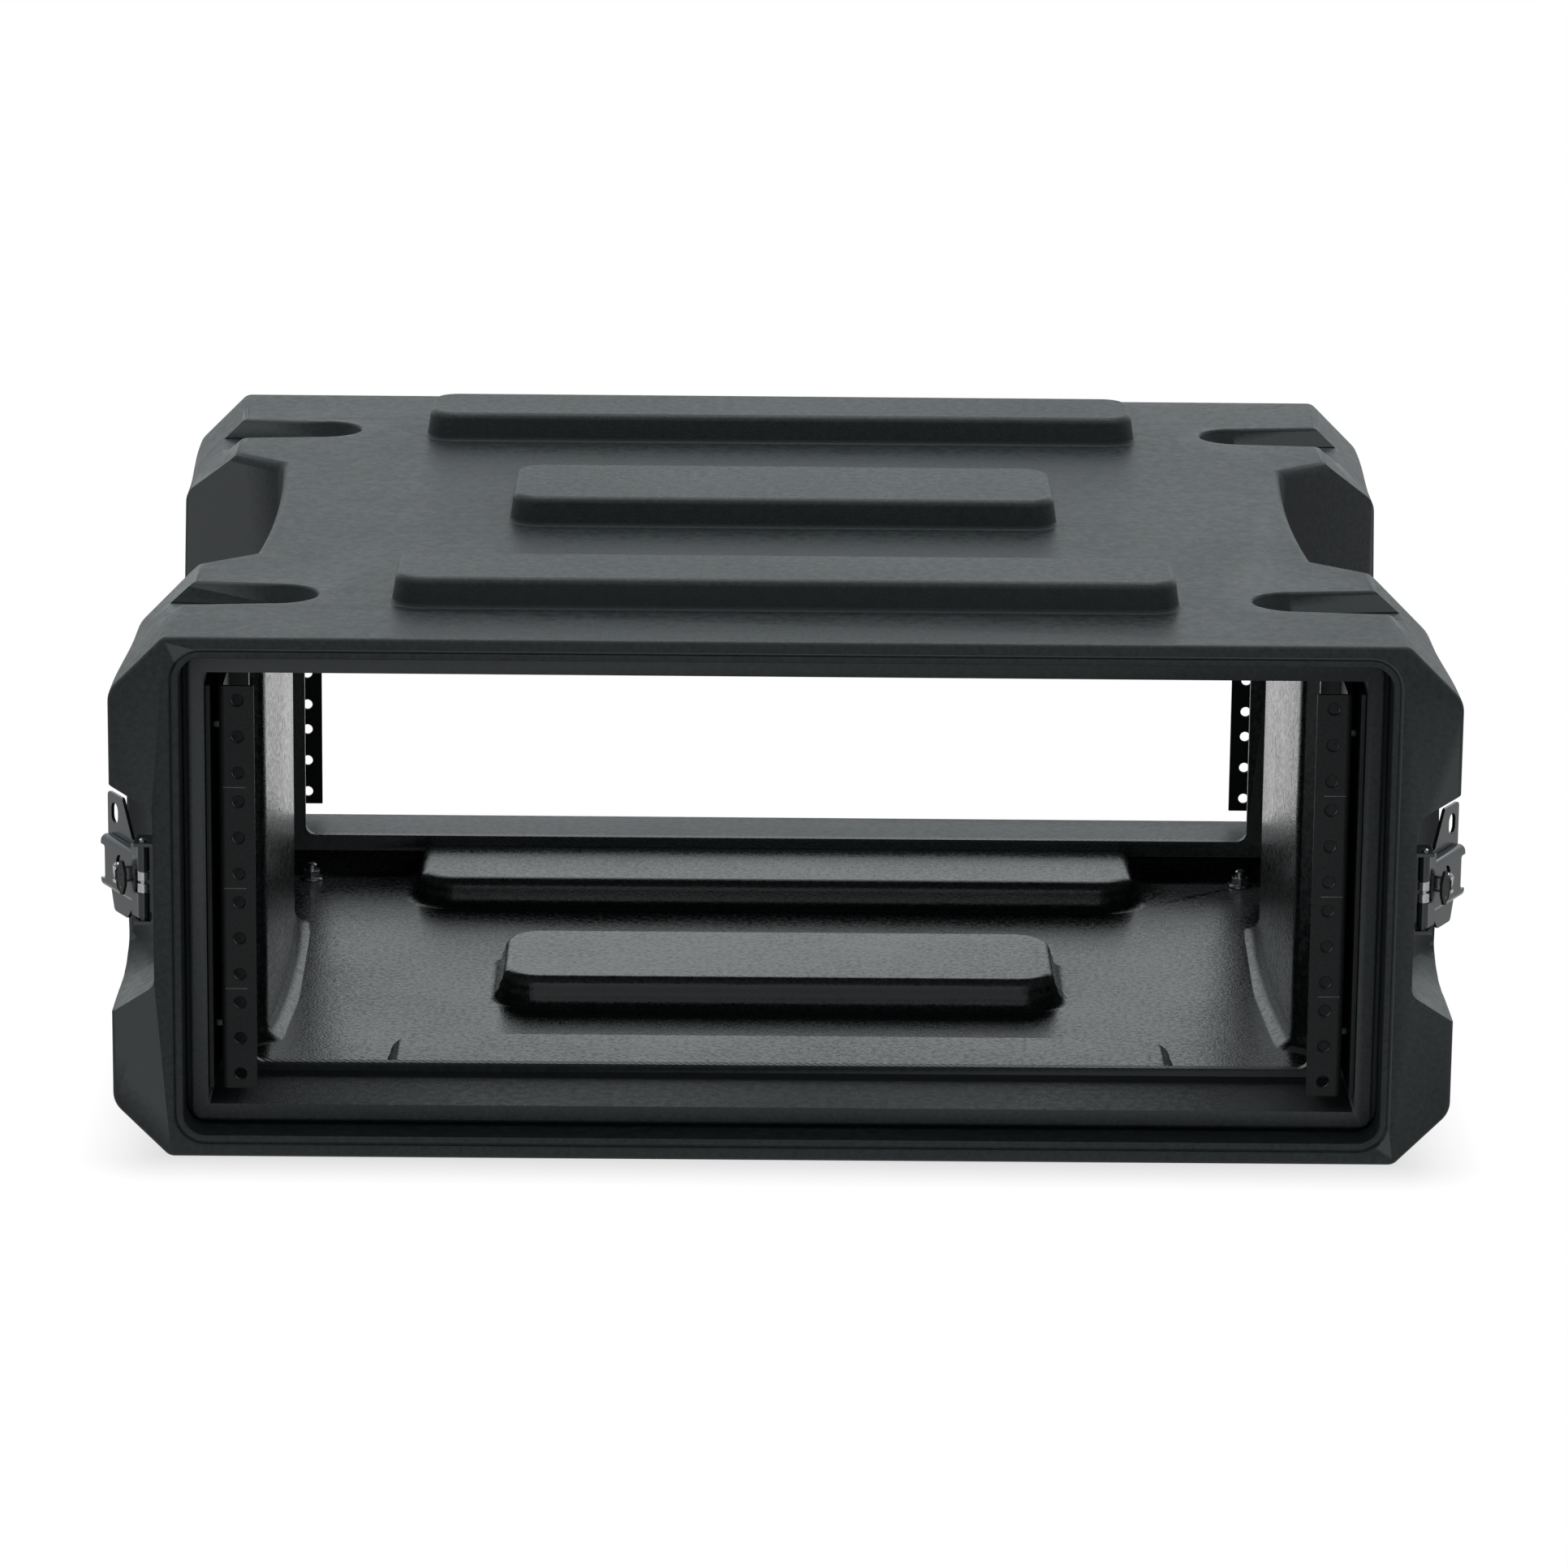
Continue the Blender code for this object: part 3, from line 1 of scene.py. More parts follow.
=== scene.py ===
# %% [markdown]
# # A four-unit equipment rack case
# The case is one hollow moulding of dark polyethylene, open at both ends, with steel rails inside,
# swing latches at its four corners, sprung handles in its sides and rubber feet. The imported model
# already holds every part at its real size, so this lesson gives those parts their fine shape
# and finish. It starts by loading the model as a fixed frame, and keeps its box for later.

# %% Load the frame
import math

import bmesh
import bpy
from mathutils import Matrix, Vector


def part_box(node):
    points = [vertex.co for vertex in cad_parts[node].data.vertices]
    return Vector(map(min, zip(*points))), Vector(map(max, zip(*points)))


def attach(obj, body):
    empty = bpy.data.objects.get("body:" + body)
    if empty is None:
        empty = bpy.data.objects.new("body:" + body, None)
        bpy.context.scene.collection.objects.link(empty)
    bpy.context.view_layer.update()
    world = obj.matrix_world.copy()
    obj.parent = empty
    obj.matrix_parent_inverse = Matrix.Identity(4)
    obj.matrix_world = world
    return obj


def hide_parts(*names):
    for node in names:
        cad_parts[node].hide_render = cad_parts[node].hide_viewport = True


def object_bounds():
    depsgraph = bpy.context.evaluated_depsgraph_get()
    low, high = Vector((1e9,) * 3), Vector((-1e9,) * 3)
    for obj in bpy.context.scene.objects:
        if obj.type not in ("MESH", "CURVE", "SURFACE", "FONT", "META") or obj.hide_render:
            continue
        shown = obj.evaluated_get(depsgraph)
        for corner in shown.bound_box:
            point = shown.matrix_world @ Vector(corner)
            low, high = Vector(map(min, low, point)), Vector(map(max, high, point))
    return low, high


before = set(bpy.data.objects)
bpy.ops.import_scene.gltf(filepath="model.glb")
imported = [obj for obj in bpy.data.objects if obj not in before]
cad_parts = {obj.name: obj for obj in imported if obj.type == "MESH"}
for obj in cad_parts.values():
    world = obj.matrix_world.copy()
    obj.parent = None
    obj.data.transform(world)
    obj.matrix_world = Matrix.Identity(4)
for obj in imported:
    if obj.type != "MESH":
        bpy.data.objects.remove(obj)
cad_low, cad_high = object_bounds()
scene = bpy.context.scene
print("CAD box", [round(v, 4) for v in (*cad_low, *cad_high)])


# %% Scene helpers
def set_up(thing, **settings):
    """Give a thing several properties at once."""
    for name, value in settings.items():
        setattr(thing, name, value)
    return thing


def new_object(name, data):
    """Object that is part of the scene."""
    thing = bpy.data.objects.new(name, data)
    scene.collection.objects.link(thing)
    return thing


def mesh_from(name, shape, mesh=None):
    """Mesh from a bmesh, which is freed; it can go into a mesh that is there already."""
    mesh = mesh or bpy.data.meshes.new(name)
    shape.to_mesh(mesh)
    shape.free()
    return mesh


def add_modifier(thing, name, kind, **settings):
    """Modifier with its settings."""
    set_up(thing.modifiers.new(name, kind), **settings)


print("helpers ready")


# %% [markdown]
# ## Camera
# A long lens three metres away keeps the upright edges almost parallel, the way catalogue pictures
# of cases are taken. The camera stands a little above the case, so its top and its inside show.

# %% Camera
LENS_MM = 157.91
CAMERA_PLACE = (-0.0266, -3.070, 0.9053)
CAMERA_TURN = (75.433, -0.574, -0.380)
lens_data = bpy.data.cameras.new("camera")
lens_data.lens = LENS_MM
lens_data.sensor_width = 36.0
lens_data.clip_end = 50.0
camera = new_object("camera", lens_data)
camera.location = CAMERA_PLACE
camera.rotation_euler = [math.radians(angle) for angle in CAMERA_TURN]
scene.camera = camera
print("lens", LENS_MM, "mm")

# %% [markdown]
# ## Studio
# The case stands on a white sweep. A real sweep is paper lit until it is white, with only a soft
# shadow left under the object. Here the floor is a pale matt plane around the case that turns into
# a glowing white one a few centimetres away from it. It reaches so far that its far edge shows only
# when the view is almost level.


# %% Node helpers
def feed(tree, node, values):
    """Give a node's inputs their values: the output of another node, or a plain value."""
    for name, value in values.items():
        if isinstance(value, bpy.types.NodeSocket):
            tree.links.new(value, node.inputs[name])
        else:
            node.inputs[name].default_value = value


def add_node(tree, kind, values=None, **settings):
    """Shader node with its settings and its input values."""
    node = set_up(tree.nodes.new("ShaderNode" + kind), **settings)
    feed(tree, node, values or {})
    return node


def new_material(name):
    """Node material, with its node tree and its Principled shader."""
    material = bpy.data.materials.new(name)
    material.use_nodes = True
    return material, material.node_tree, material.node_tree.nodes["Principled BSDF"]


def maths(tree, operation, *values, clamp=False):
    """Math node whose inputs are sockets or plain numbers; gives its output."""
    node = add_node(tree, "Math", dict(enumerate(values)), operation=operation, use_clamp=clamp)
    return node.outputs["Value"]


def ramp(tree, value, low, high, to_low=0.0, to_high=1.0):
    """Map Range node from one span to another; gives its output."""
    spans = {"From Min": low, "From Max": high, "To Min": to_low, "To Max": to_high}
    return add_node(tree, "MapRange", {"Value": value, **spans}).outputs["Result"]


def mixed(tree, share, first, second):
    """Two shaders mixed by a share; gives the mixing node."""
    return add_node(tree, "MixShader", {0: share, 1: first.outputs[0], 2: second.outputs[0]})


# %% Floor
FLOOR_HALF, FLOOR_LEVEL = 6.0, -0.0005
SHADOW_INSET, SHADOW_REACH = 0.03, 0.04
shape = bmesh.new()
bmesh.ops.create_grid(shape, x_segments=1, y_segments=1, size=FLOOR_HALF)
mesh = mesh_from("floor", shape)
floor = new_object("floor", mesh)
floor.location.z = FLOOR_LEVEL
material, tree, shader = new_material("white_sweep")
feed(tree, shader, {"Base Color": (0.9, 0.9, 0.9, 1), "Roughness": 0.9, "Specular IOR Level": 0.0})
axes = add_node(tree, "SeparateXYZ", {0: add_node(tree, "NewGeometry").outputs["Position"]}).outputs
squares = []
for axis, half in zip("XY", cad_high):
    past = maths(tree, "SUBTRACT", maths(tree, "ABSOLUTE", axes[axis]), half - SHADOW_INSET)
    squares.append(maths(tree, "POWER", maths(tree, "MAXIMUM", past, 0.0), 2.0))
distance = maths(tree, "SQRT", maths(tree, "ADD", *squares))
path = add_node(tree, "LightPath").outputs
aside = ramp(tree, maths(tree, "ABSOLUTE", axes["X"]), 0.3, 0.6, 1.0, 0.55)
share = maths(tree, "MULTIPLY", ramp(tree, axes["Y"], -0.4, 0.6, 0.5, 1.0), aside)
seen = maths(tree, "MAXIMUM", path["Is Camera Ray"], path["Is Transmission Ray"])
seen = maths(tree, "MAXIMUM", seen, maths(tree, "MULTIPLY", path["Is Glossy Ray"], share))
glow = add_node(tree, "Emission", {"Strength": ramp(tree, seen, 0.0, 1.0, 0.25, 1.0)})
blend = mixed(tree, ramp(tree, distance, 0.0, SHADOW_REACH, 0.7, 1.0), shader, glow)
feed(tree, tree.nodes["Material Output"], {"Surface": blend.outputs["Shader"]})
mesh.materials.append(material)
print("floor", 2 * FLOOR_HALF, "m wide")

# %% [markdown]
# ## World and lamps
# Black plastic is seen mostly by what it mirrors. A white world behind and above the case gives the
# pale tops and the white curtains on the inner walls. The room on the camera's side is dim, as a
# studio is, so the upright faces stay dark. Diffuse light is kept low, and one large soft lamp
# overhead does the rest. The camera itself meets a pale grey world, but the floor hides it unless
# the view is almost level.

# %% World
AMBIENT = 0.30
world = bpy.data.worlds.new("studio")
scene.world = world
world.use_nodes = True
tree = world.node_tree
path = add_node(tree, "LightPath").outputs
axes = add_node(tree, "SeparateXYZ", {0: add_node(tree, "TexCoord").outputs["Generated"]}).outputs
aside = ramp(tree, maths(tree, "ABSOLUTE", axes["X"]), 0.35, 0.9, 1.0, 0.6)
behind = ramp(tree, axes["Y"], -0.9, 0.0, 0.65, 1.0)
ambient = tree.nodes["Background"]
feed(tree, ambient, {"Color": (1, 1, 1, 1), "Strength": AMBIENT})
mirrored = add_node(tree, "Background", {"Color": (0.92, 0.98, 1.0, 1),
                                         "Strength": maths(tree, "MULTIPLY", behind, aside)})
by_gloss = mixed(tree, path["Is Glossy Ray"], ambient, mirrored)
seen = maths(tree, "MAXIMUM", path["Is Camera Ray"], path["Is Transmission Ray"])
by_sight = mixed(tree, seen, by_gloss, add_node(tree, "Background"))
feed(tree, tree.nodes["World Output"], {"Surface": by_sight.outputs["Shader"]})
scene.view_settings.view_transform = "Standard"
print("ambient", AMBIENT)


# %% Lamps
def add_lamp(name, place, target, size, power):
    """Square soft lamp that looks at a point."""
    data = bpy.data.lights.new(name, "AREA")
    data.size, data.energy = size, power
    lamp = new_object(name, data)
    lamp.location = place
    lamp.rotation_euler = (Vector(target) - Vector(place)).to_track_quat("-Z", "Y").to_euler()
    print("lamp", name, power, "W")


add_lamp("overhead", (0.0, 0.5, 2.2), (0, 0, 0.1), 1.6, 16)

# %% [markdown]
# ## Shared effects
# A moulded skin isn't smooth: it carries a fine grain from the mould, and a slow unevenness of tone
# where the melt met cold metal. Both are procedural, so they need no picture and no unwrapping.
# They are node groups, because several finishes use them with other sizes. A group here only
# gives heights and masks; each shader stays in its own material.


# %% Grain, unevenness, edge wear with a painted edge highlight, and dust specks as node groups
def new_group(name, inputs, outputs):
    """Node group with float sockets; inputs come with their defaults."""
    group = bpy.data.node_groups.new(name, "ShaderNodeTree")
    for title, value in inputs.items():
        socket = group.interface.new_socket(title, in_out="INPUT", socket_type="NodeSocketFloat")
        socket.default_value = value
    for title in outputs:
        group.interface.new_socket(title, in_out="OUTPUT", socket_type="NodeSocketFloat")
    given = group.nodes.new("NodeGroupInput").outputs
    return group, given, group.nodes.new("NodeGroupOutput"), add_node(group, "TexCoord").outputs["Object"]


def noise(tree, place, scale, detail=3.0, roughness=0.5):
    """Noise texture; the scale is a socket or a number. Gives its factor."""
    values = {"Vector": place, "Scale": scale, "Detail": detail, "Roughness": roughness}
    return add_node(tree, "TexNoise", values).outputs["Fac"]


def speckle(tree, place, scale):
    """Distance to the nearest of many scattered points."""
    return add_node(tree, "TexVoronoi", {"Vector": place, "Scale": scale}).outputs["Distance"]


skin, given, result, place = new_group("mould_grain", {"Scale": 900.0, "Pebble": 0.5}, ("Height",))
pebbles = maths(skin, "MULTIPLY", speckle(skin, place, given["Scale"]), given["Pebble"])
feed(skin, result, {"Height": maths(skin, "ADD", pebbles, noise(skin, place, given["Scale"], 2.0))})

uneven, given, result, place = new_group("uneven_tone", {"Scale": 9.0, "Fine": 160.0}, ("Broad", "Mottle"))
broad = noise(uneven, place, given["Scale"], 4.0, 0.6)
mottle = noise(uneven, place, given["Fine"], 4.0, 0.65)
feed(uneven, result, {"Broad": ramp(uneven, broad, 0.35, 0.65), "Mottle": ramp(uneven, mottle, 0.38, 0.62)})

# Lighter convex edges: real wear where the coated steel uses this mask, a painted highlight along the edges
# where the moulded skins use it.
EDGE_MASK_BREAKUP = 0.05
edge_wear_and_highlight, given, result, place = new_group("edge_wear_and_highlight_mask", {"Start": 0.52, "Full": 0.60}, ("Mask",))
corner = add_node(edge_wear_and_highlight, "NewGeometry").outputs["Pointiness"]
broken = maths(edge_wear_and_highlight, "SUBTRACT", noise(edge_wear_and_highlight, place, 420.0, 4.0, 0.7), 0.5)
lifted = maths(edge_wear_and_highlight, "ADD", corner, maths(edge_wear_and_highlight, "MULTIPLY", broken, EDGE_MASK_BREAKUP))
width = maths(edge_wear_and_highlight, "SUBTRACT", given["Full"], given["Start"])
past = maths(edge_wear_and_highlight, "SUBTRACT", lifted, given["Start"])
feed(edge_wear_and_highlight, result, {"Mask": maths(edge_wear_and_highlight, "DIVIDE", past, width, clamp=True)})

dust, given, result, place = new_group("pale_specks", {"Scale": 70.0, "Size": 0.022}, ("Mask",))
patches = ramp(dust, noise(dust, place, 14.0), 0.45, 0.65)
size = maths(dust, "MULTIPLY", given["Size"], patches)
feed(dust, result, {"Mask": maths(dust, "LESS_THAN", speckle(dust, place, given["Scale"]), size)})
print("groups", skin.name, uneven.name, edge_wear_and_highlight.name, dust.name)


# %% Place a group in a material
def use_group(tree, group, values):
    """Outputs of a group with some of its inputs set."""
    return add_node(tree, "Group", values, node_tree=group).outputs


def tint(tree, share, first, second):
    """Colour between two, by a share; each is a socket or a plain colour."""
    first, second = (c if isinstance(c, bpy.types.NodeSocket) else (*c, 1.0) for c in (first, second))
    return add_node(tree, "Mix", {0: share, 6: first, 7: second}, data_type="RGBA").outputs[2]


def raise_surface(tree, shader, *layers):
    """Chain of Bump nodes into the shader's normal; each layer is a height, a depth and a strength."""
    below = {}
    for height, depth, strength in layers:
        bump = add_node(tree, "Bump", {"Height": height, "Distance": depth, "Strength": strength, **below})
        below = {"Normal": bump.outputs["Normal"]}
    feed(tree, shader, below)


# %% [markdown]
# ## Finishes
# The outside of the case is charcoal polyethylene with a fine satin grain. The inside never touched
# the mould: it set against air, so it is glossy and wavy like orange peel, with dull patches. Where
# a router opened the ends, the cut edge is bare and shows the cutter's ticks.
#
# All but the routed edge are made the same way: a mottled colour and an uneven roughness, on most a
# fine grain or ripple, and on some lighter places: worn edges on the steel, dust on the outside of the case,
# and a painted highlight along the edges of both moulded skins.


# %% One way to make a finish
def make_finish(name, tone, colours, rough, bumps=(), wear_dust_and_highlight=(), wear_dust_and_highlight_colour=None, bare=False,
                metallic=0.0, gloss=0.5, gloss_tint=(1.0, 1.0, 1.0)):
    """Material with a mottled colour.

    tone holds the scales of its broad and its fine unevenness. rough holds the least roughness and
    what the mottle and the broad patches add. bumps are (group, its inputs, output, depth, strength),
    and wear_dust_and_highlight are (group, its inputs) that give masks of lighter places: worn places and
    dust, and on the moulded skins a painted highlight along the edges; bare says that the worn places are
    metal.
    """
    material, tree, shader = new_material(name)
    tone = use_group(tree, uneven, dict(zip(("Scale", "Fine"), tone)))
    colour = tint(tree, tone["Mottle"], *colours)
    # Lighter places: wear and dust, and on the moulded skins a painted highlight along the edges.
    if wear_dust_and_highlight:
        masks = [use_group(tree, group, inputs)["Mask"] for group, inputs in wear_dust_and_highlight]
        mask = maths(tree, "MAXIMUM", *masks) if len(masks) > 1 else masks[0]
        colour = tint(tree, mask, colour, wear_dust_and_highlight_colour)
        metallic = mask if bare else metallic
    least, by_mottle, by_broad = rough
    dull = maths(tree, "MULTIPLY_ADD", tone["Mottle"], by_mottle, least)
    feed(tree, shader, {"Base Color": colour, "Metallic": metallic, "Specular IOR Level": gloss,
                        "Specular Tint": (*gloss_tint, 1.0),
                        "Roughness": maths(tree, "MULTIPLY_ADD", tone["Broad"], by_broad, dull)})
    raise_surface(tree, shader, *((use_group(tree, group, inputs)[output], depth, strength)
                                  for group, inputs, output, depth, strength in bumps))
    print("finish", name)
    return material


# %% Outer skin
# The lighter colour on the convex edges is a painted highlight; the pale specks are dust.
OUTER_SKIN = make_finish(
    "charcoal_skin", (7.0, 260.0), ((0.016, 0.021, 0.023), (0.027, 0.034, 0.036)), (0.37, 0.10, 0.05),
    bumps=((skin, {"Scale": 1200.0, "Pebble": 0.35}, "Height", 0.00014, 0.7),),
    wear_dust_and_highlight=((edge_wear_and_highlight, {"Start": 0.512, "Full": 0.58}), (dust, {"Scale": 70.0, "Size": 0.022})),
    wear_dust_and_highlight_colour=(0.120, 0.132, 0.136), gloss=0.26)

# %% Inner skin
# The lighter colour on the convex edges, such as the rims of the floor's humps, is a painted highlight.
INNER_SKIN = make_finish(
    "glossy_inside", (13.0, 420.0), ((0.015, 0.019, 0.020), (0.029, 0.035, 0.036)), (0.10, 0.20, 0.07),
    bumps=((uneven, {"Scale": 90.0, "Fine": 420.0}, "Broad", 0.00006, 0.5),
           (skin, {"Scale": 1000.0, "Pebble": 0.5}, "Height", 0.00016, 0.6)),
    wear_dust_and_highlight=((edge_wear_and_highlight, {"Start": 0.505, "Full": 0.56}),), wear_dust_and_highlight_colour=(0.16, 0.17, 0.175), gloss=0.42)

# %% Routed edge
ROUTED_EDGE, tree, shader = new_material("routed_edge")
ticks = add_node(tree, "TexWave", {"Vector": add_node(tree, "TexCoord").outputs["Object"], "Scale": 190.0,
                                   "Distortion": 1.5}, wave_type="BANDS", bands_direction="DIAGONAL")
feed(tree, shader, {"Base Color": tint(tree, ticks.outputs["Fac"], (0.05, 0.055, 0.056), (0.16, 0.17, 0.17)),
                    "Roughness": 0.38})
raise_surface(tree, shader, (ticks.outputs["Fac"], 0.0002, 0.7))
print("finish", ROUTED_EDGE.name)

# %% [markdown]
# The steel parts have a thin black coat, worn through to bare metal only on their sharpest edges.
# The hinge pins and the floor nuts are bright plated metal, with fine marks. The feet and grips are
# dull rubber.

# %% Black coated steel
COATED_STEEL = make_finish(
    "black_coated_steel", (40.0, 900.0), ((0.010, 0.011, 0.0115), (0.017, 0.018, 0.019)), (0.17, 0.0, 0.08),
    bumps=((skin, {"Scale": 2600.0, "Pebble": 0.2}, "Height", 0.00003, 0.4),),
    wear_dust_and_highlight=((edge_wear_and_highlight, {"Start": 0.60, "Full": 0.68}),), wear_dust_and_highlight_colour=(0.32, 0.33, 0.34), bare=True,
    gloss=1.0, gloss_tint=(0.88, 0.96, 1.0))

# %% Dull coat of the rails, and the lines scribed in it
DULL_STEEL = make_finish(
    "dull_coated_steel", (25.0, 700.0), ((0.009, 0.0105, 0.011), (0.018, 0.020, 0.021)), (0.46, 0.0, 0.10),
    bumps=((skin, {"Scale": 2200.0, "Pebble": 0.4}, "Height", 0.00004, 0.5),), gloss=0.26)
SCRIBED_LINE = make_finish(
    "scribed_line", (200.0, 3000.0), ((0.14, 0.15, 0.155), (0.34, 0.35, 0.36)), (0.4, 0.0, 0.2))

# %% Bright plated metal
BRIGHT_PLATE = make_finish(
    "bright_plate", (300.0, 2400.0), ((0.55, 0.56, 0.57), (0.74, 0.75, 0.76)), (0.20, 0.0, 0.14),
    bumps=((uneven, {"Scale": 300.0, "Fine": 2400.0}, "Mottle", 0.00002, 0.3),), metallic=1.0)

# %% Rubber
RUBBER = make_finish(
    "black_rubber", (60.0, 700.0), ((0.012, 0.012, 0.0125), (0.022, 0.022, 0.023)), (0.62, 0.0, 0.12),
    bumps=((skin, {"Scale": 1900.0, "Pebble": 0.6}, "Height", 0.00006, 0.5),), gloss=0.30)
FINISHES = {"shell": OUTER_SKIN, "steel": COATED_STEEL, "zinc": BRIGHT_PLATE, "rubber": RUBBER}

# %% [markdown]
# ## Modelling helpers
# Nearly every part is either a flat outline given a thickness, a folded sheet, a turned profile,
# a bent wire, or two of those joined or cut. Outlines are lists of points whose corners are rounded
# by an arc, so a corner radius is a number and not a pile of edits.

# %% Outlines
SIDES = (("left", -1), ("right", 1))
ENDS = (("front", 1), ("rear", -1))
CORNERS = [(f"{end_name}_{side_name}", side, end) for end_name, end in ENDS for side_name, side in SIDES]


def arc_points(corner, before, after, radius, steps):
    """Points of the arc that rounds one corner and touches both of its edges."""
    corner, before, after = Vector(corner), Vector(before), Vector(after)
    to_before = (before - corner).normalized()
    to_after = (after - corner).normalized()
    half_angle = to_before.angle(to_after) / 2
    centre = corner + (to_before + to_after).normalized() * radius / math.sin(half_angle)
    start = corner + to_before * radius / math.tan(half_angle) - centre
    turn = math.pi - 2 * half_angle
    side = 1 if to_before.x * to_after.y - to_before.y * to_after.x < 0 else -1
    return [centre + Matrix.Rotation(side * turn * step / steps, 2) @ start for step in range(steps + 1)]


def rounded_path(points, radius, steps, closed=False):
    """Path with rounded corners; the two ends of an open path stay as they are."""
    result = []
    for index, point in enumerate(points):
        if not closed and index in (0, len(points) - 1):
            result.append(Vector(point))
        else:
            result += arc_points(point, points[index - 1], points[(index + 1) % len(points)], radius, steps)
    return result


def rounded_rectangle(half_u, half_v, radius, steps, centre=(0.0, 0.0)):
    """Outline of a rectangle with round corners about a centre."""
    corners = [(-half_u, -half_v), (half_u, -half_v), (half_u, half_v), (-half_u, half_v)]
    return [point + Vector(centre) for point in rounded_path(corners, radius, steps, closed=True)]


def oval_outline(half_u, half_v, steps, centre=(0.0, 0.0)):
    """Outline of a long round-ended hole."""
    return rounded_rectangle(half_u, half_v, min(half_u, half_v) * 0.999, steps, centre)


def moved_sideways(line, distance):
    """Open path moved to its left by a distance."""
    moved = []
    for index, point in enumerate(line):
        before, after = line[max(index - 1, 0)], line[min(index + 1, len(line) - 1)]
        arriving = (point - before).normalized() if index else (after - point).normalized()
        leaving = (after - point).normalized() if index < len(line) - 1 else arriving
        across = Vector((-arriving.y - leaving.y, arriving.x + leaving.x)).normalized()
        spread = across.dot(Vector((-arriving.y, arriving.x)))
        moved.append(point + across * distance / spread)
    return moved


def sheet_outline(path, thickness, bend):
    """Outline of a folded sheet whose middle follows a path."""
    line = rounded_path([Vector(point) for point in path], bend, 6)
    return moved_sideways(line, thickness / 2) + list(reversed(moved_sideways(line, -thickness / 2)))


print("corners", [name for name, _, _ in CORNERS])

# %% Solids
FRAMES = {
    "x": Matrix(((0, 0, 1, 0), (1, 0, 0, 0), (0, 1, 0, 0), (0, 0, 0, 1))),
    "y": Matrix(((1, 0, 0, 0), (0, 0, 1, 0), (0, 1, 0, 0), (0, 0, 0, 1))),
    "z": Matrix.Identity(4),
}


def blank(name, shape):
    """Object from a bmesh, with its faces turned outwards."""
    bmesh.ops.recalc_face_normals(shape, faces=shape.faces)
    return new_object(name, mesh_from(name, shape))


def lofted(name, axis, sections):
    """Closed solid through (height, outline) sections that all have the same number of points."""
    shape = bmesh.new()
    rings = []
    for height, outline in sections:
        rings.append([shape.verts.new(FRAMES[axis] @ Vector((p[0], p[1], height))) for p in outline])
    for lower, upper in zip(rings, rings[1:]):
        for index in range(len(lower)):
            following = (index + 1) % len(lower)
            shape.faces.new((lower[index], lower[following], upper[following], upper[index]))
    shape.faces.new(rings[0])
    shape.faces.new(rings[-1])
    return blank(name, shape)


def prism(name, axis, outline, low, high):
    """Straight solid with one outline."""
    return lofted(name, axis, ((low, outline), (high, outline)))


def box(name, low, high):
    """Box between two corners."""
    shape = bmesh.new()
    bmesh.ops.create_cube(shape, size=1.0)
    low, high = Vector(low), Vector(high)
    place = Matrix.Translation((low + high) / 2) @ Matrix.Diagonal((*(high - low), 1.0))
    bmesh.ops.transform(shape, matrix=place, verts=shape.verts)
    return blank(name, shape)


def rod(name, axis, radius, low, high, centre=(0.0, 0.0), steps=32, end_radius=None):
    """Cylinder along an axis, or a tapered one with another radius at its high end."""
    shape = bmesh.new()
    bmesh.ops.create_cone(shape, cap_ends=True, segments=steps, radius1=radius,
                          radius2=radius if end_radius is None else end_radius, depth=abs(high - low))
    place = FRAMES[axis] @ Matrix.Translation((centre[0], centre[1], (low + high) / 2))
    bmesh.ops.transform(shape, matrix=place, verts=shape.verts)
    return blank(name, shape)


def turned(name, profile, steps=32):
    """Solid turned from a profile of (radius, height) points, listed from its top down."""
    mesh = bpy.data.meshes.new(name)
    edges = [(index, index + 1) for index in range(len(profile) - 1)]
    if profile[0][0] > 0:
        edges.append((len(profile) - 1, 0))
    mesh.from_pydata([(radius, 0.0, height) for radius, height in profile], edges, [])
    thing = new_object(name, mesh)
    add_modifier(thing, "turn", "SCREW", steps=steps, render_steps=steps, use_merge_vertices=True,
                 merge_threshold=0.00005)
    return thing


def wire(name, route, radius, sides):
    """Round wire along a route of points in space."""
    curve = set_up(bpy.data.curves.new(name, "CURVE"), dimensions="3D", bevel_depth=radius,
                   bevel_resolution=sides, use_fill_caps=True)
    spline = curve.splines.new("POLY")
    spline.points.add(len(route) - 1)
    for point, place in zip(spline.points, route):
        point.co = (*place, 1.0)
    return new_object(name, curve)


print("solids: loft, prism, box, rod, turned, wire")


# %% Joining, cutting and finishing
def combine(operation, thing, others):
    """Boolean modifiers on one object, one for each other."""
    for other in others:
        add_modifier(thing, other.name, "BOOLEAN", operation=operation, solver="EXACT", object=other)
    return thing


def cut(thing, *others):
    """Take the others away from an object."""
    return combine("DIFFERENCE", thing, others)


def joined(thing, *others):
    """Join the others to an object."""
    return combine("UNION", thing, others)


def worked_out(thing):
    """Mesh of an object after its modifiers; the object goes, and so do those it was joined or cut with."""
    bpy.context.view_layer.update()
    mesh = bpy.data.meshes.new_from_object(thing.evaluated_get(bpy.context.evaluated_depsgraph_get()))
    for used in [thing] + [step.object for step in thing.modifiers if step.type == "BOOLEAN"]:
        bpy.data.objects.remove(used, do_unlink=True)
    return mesh


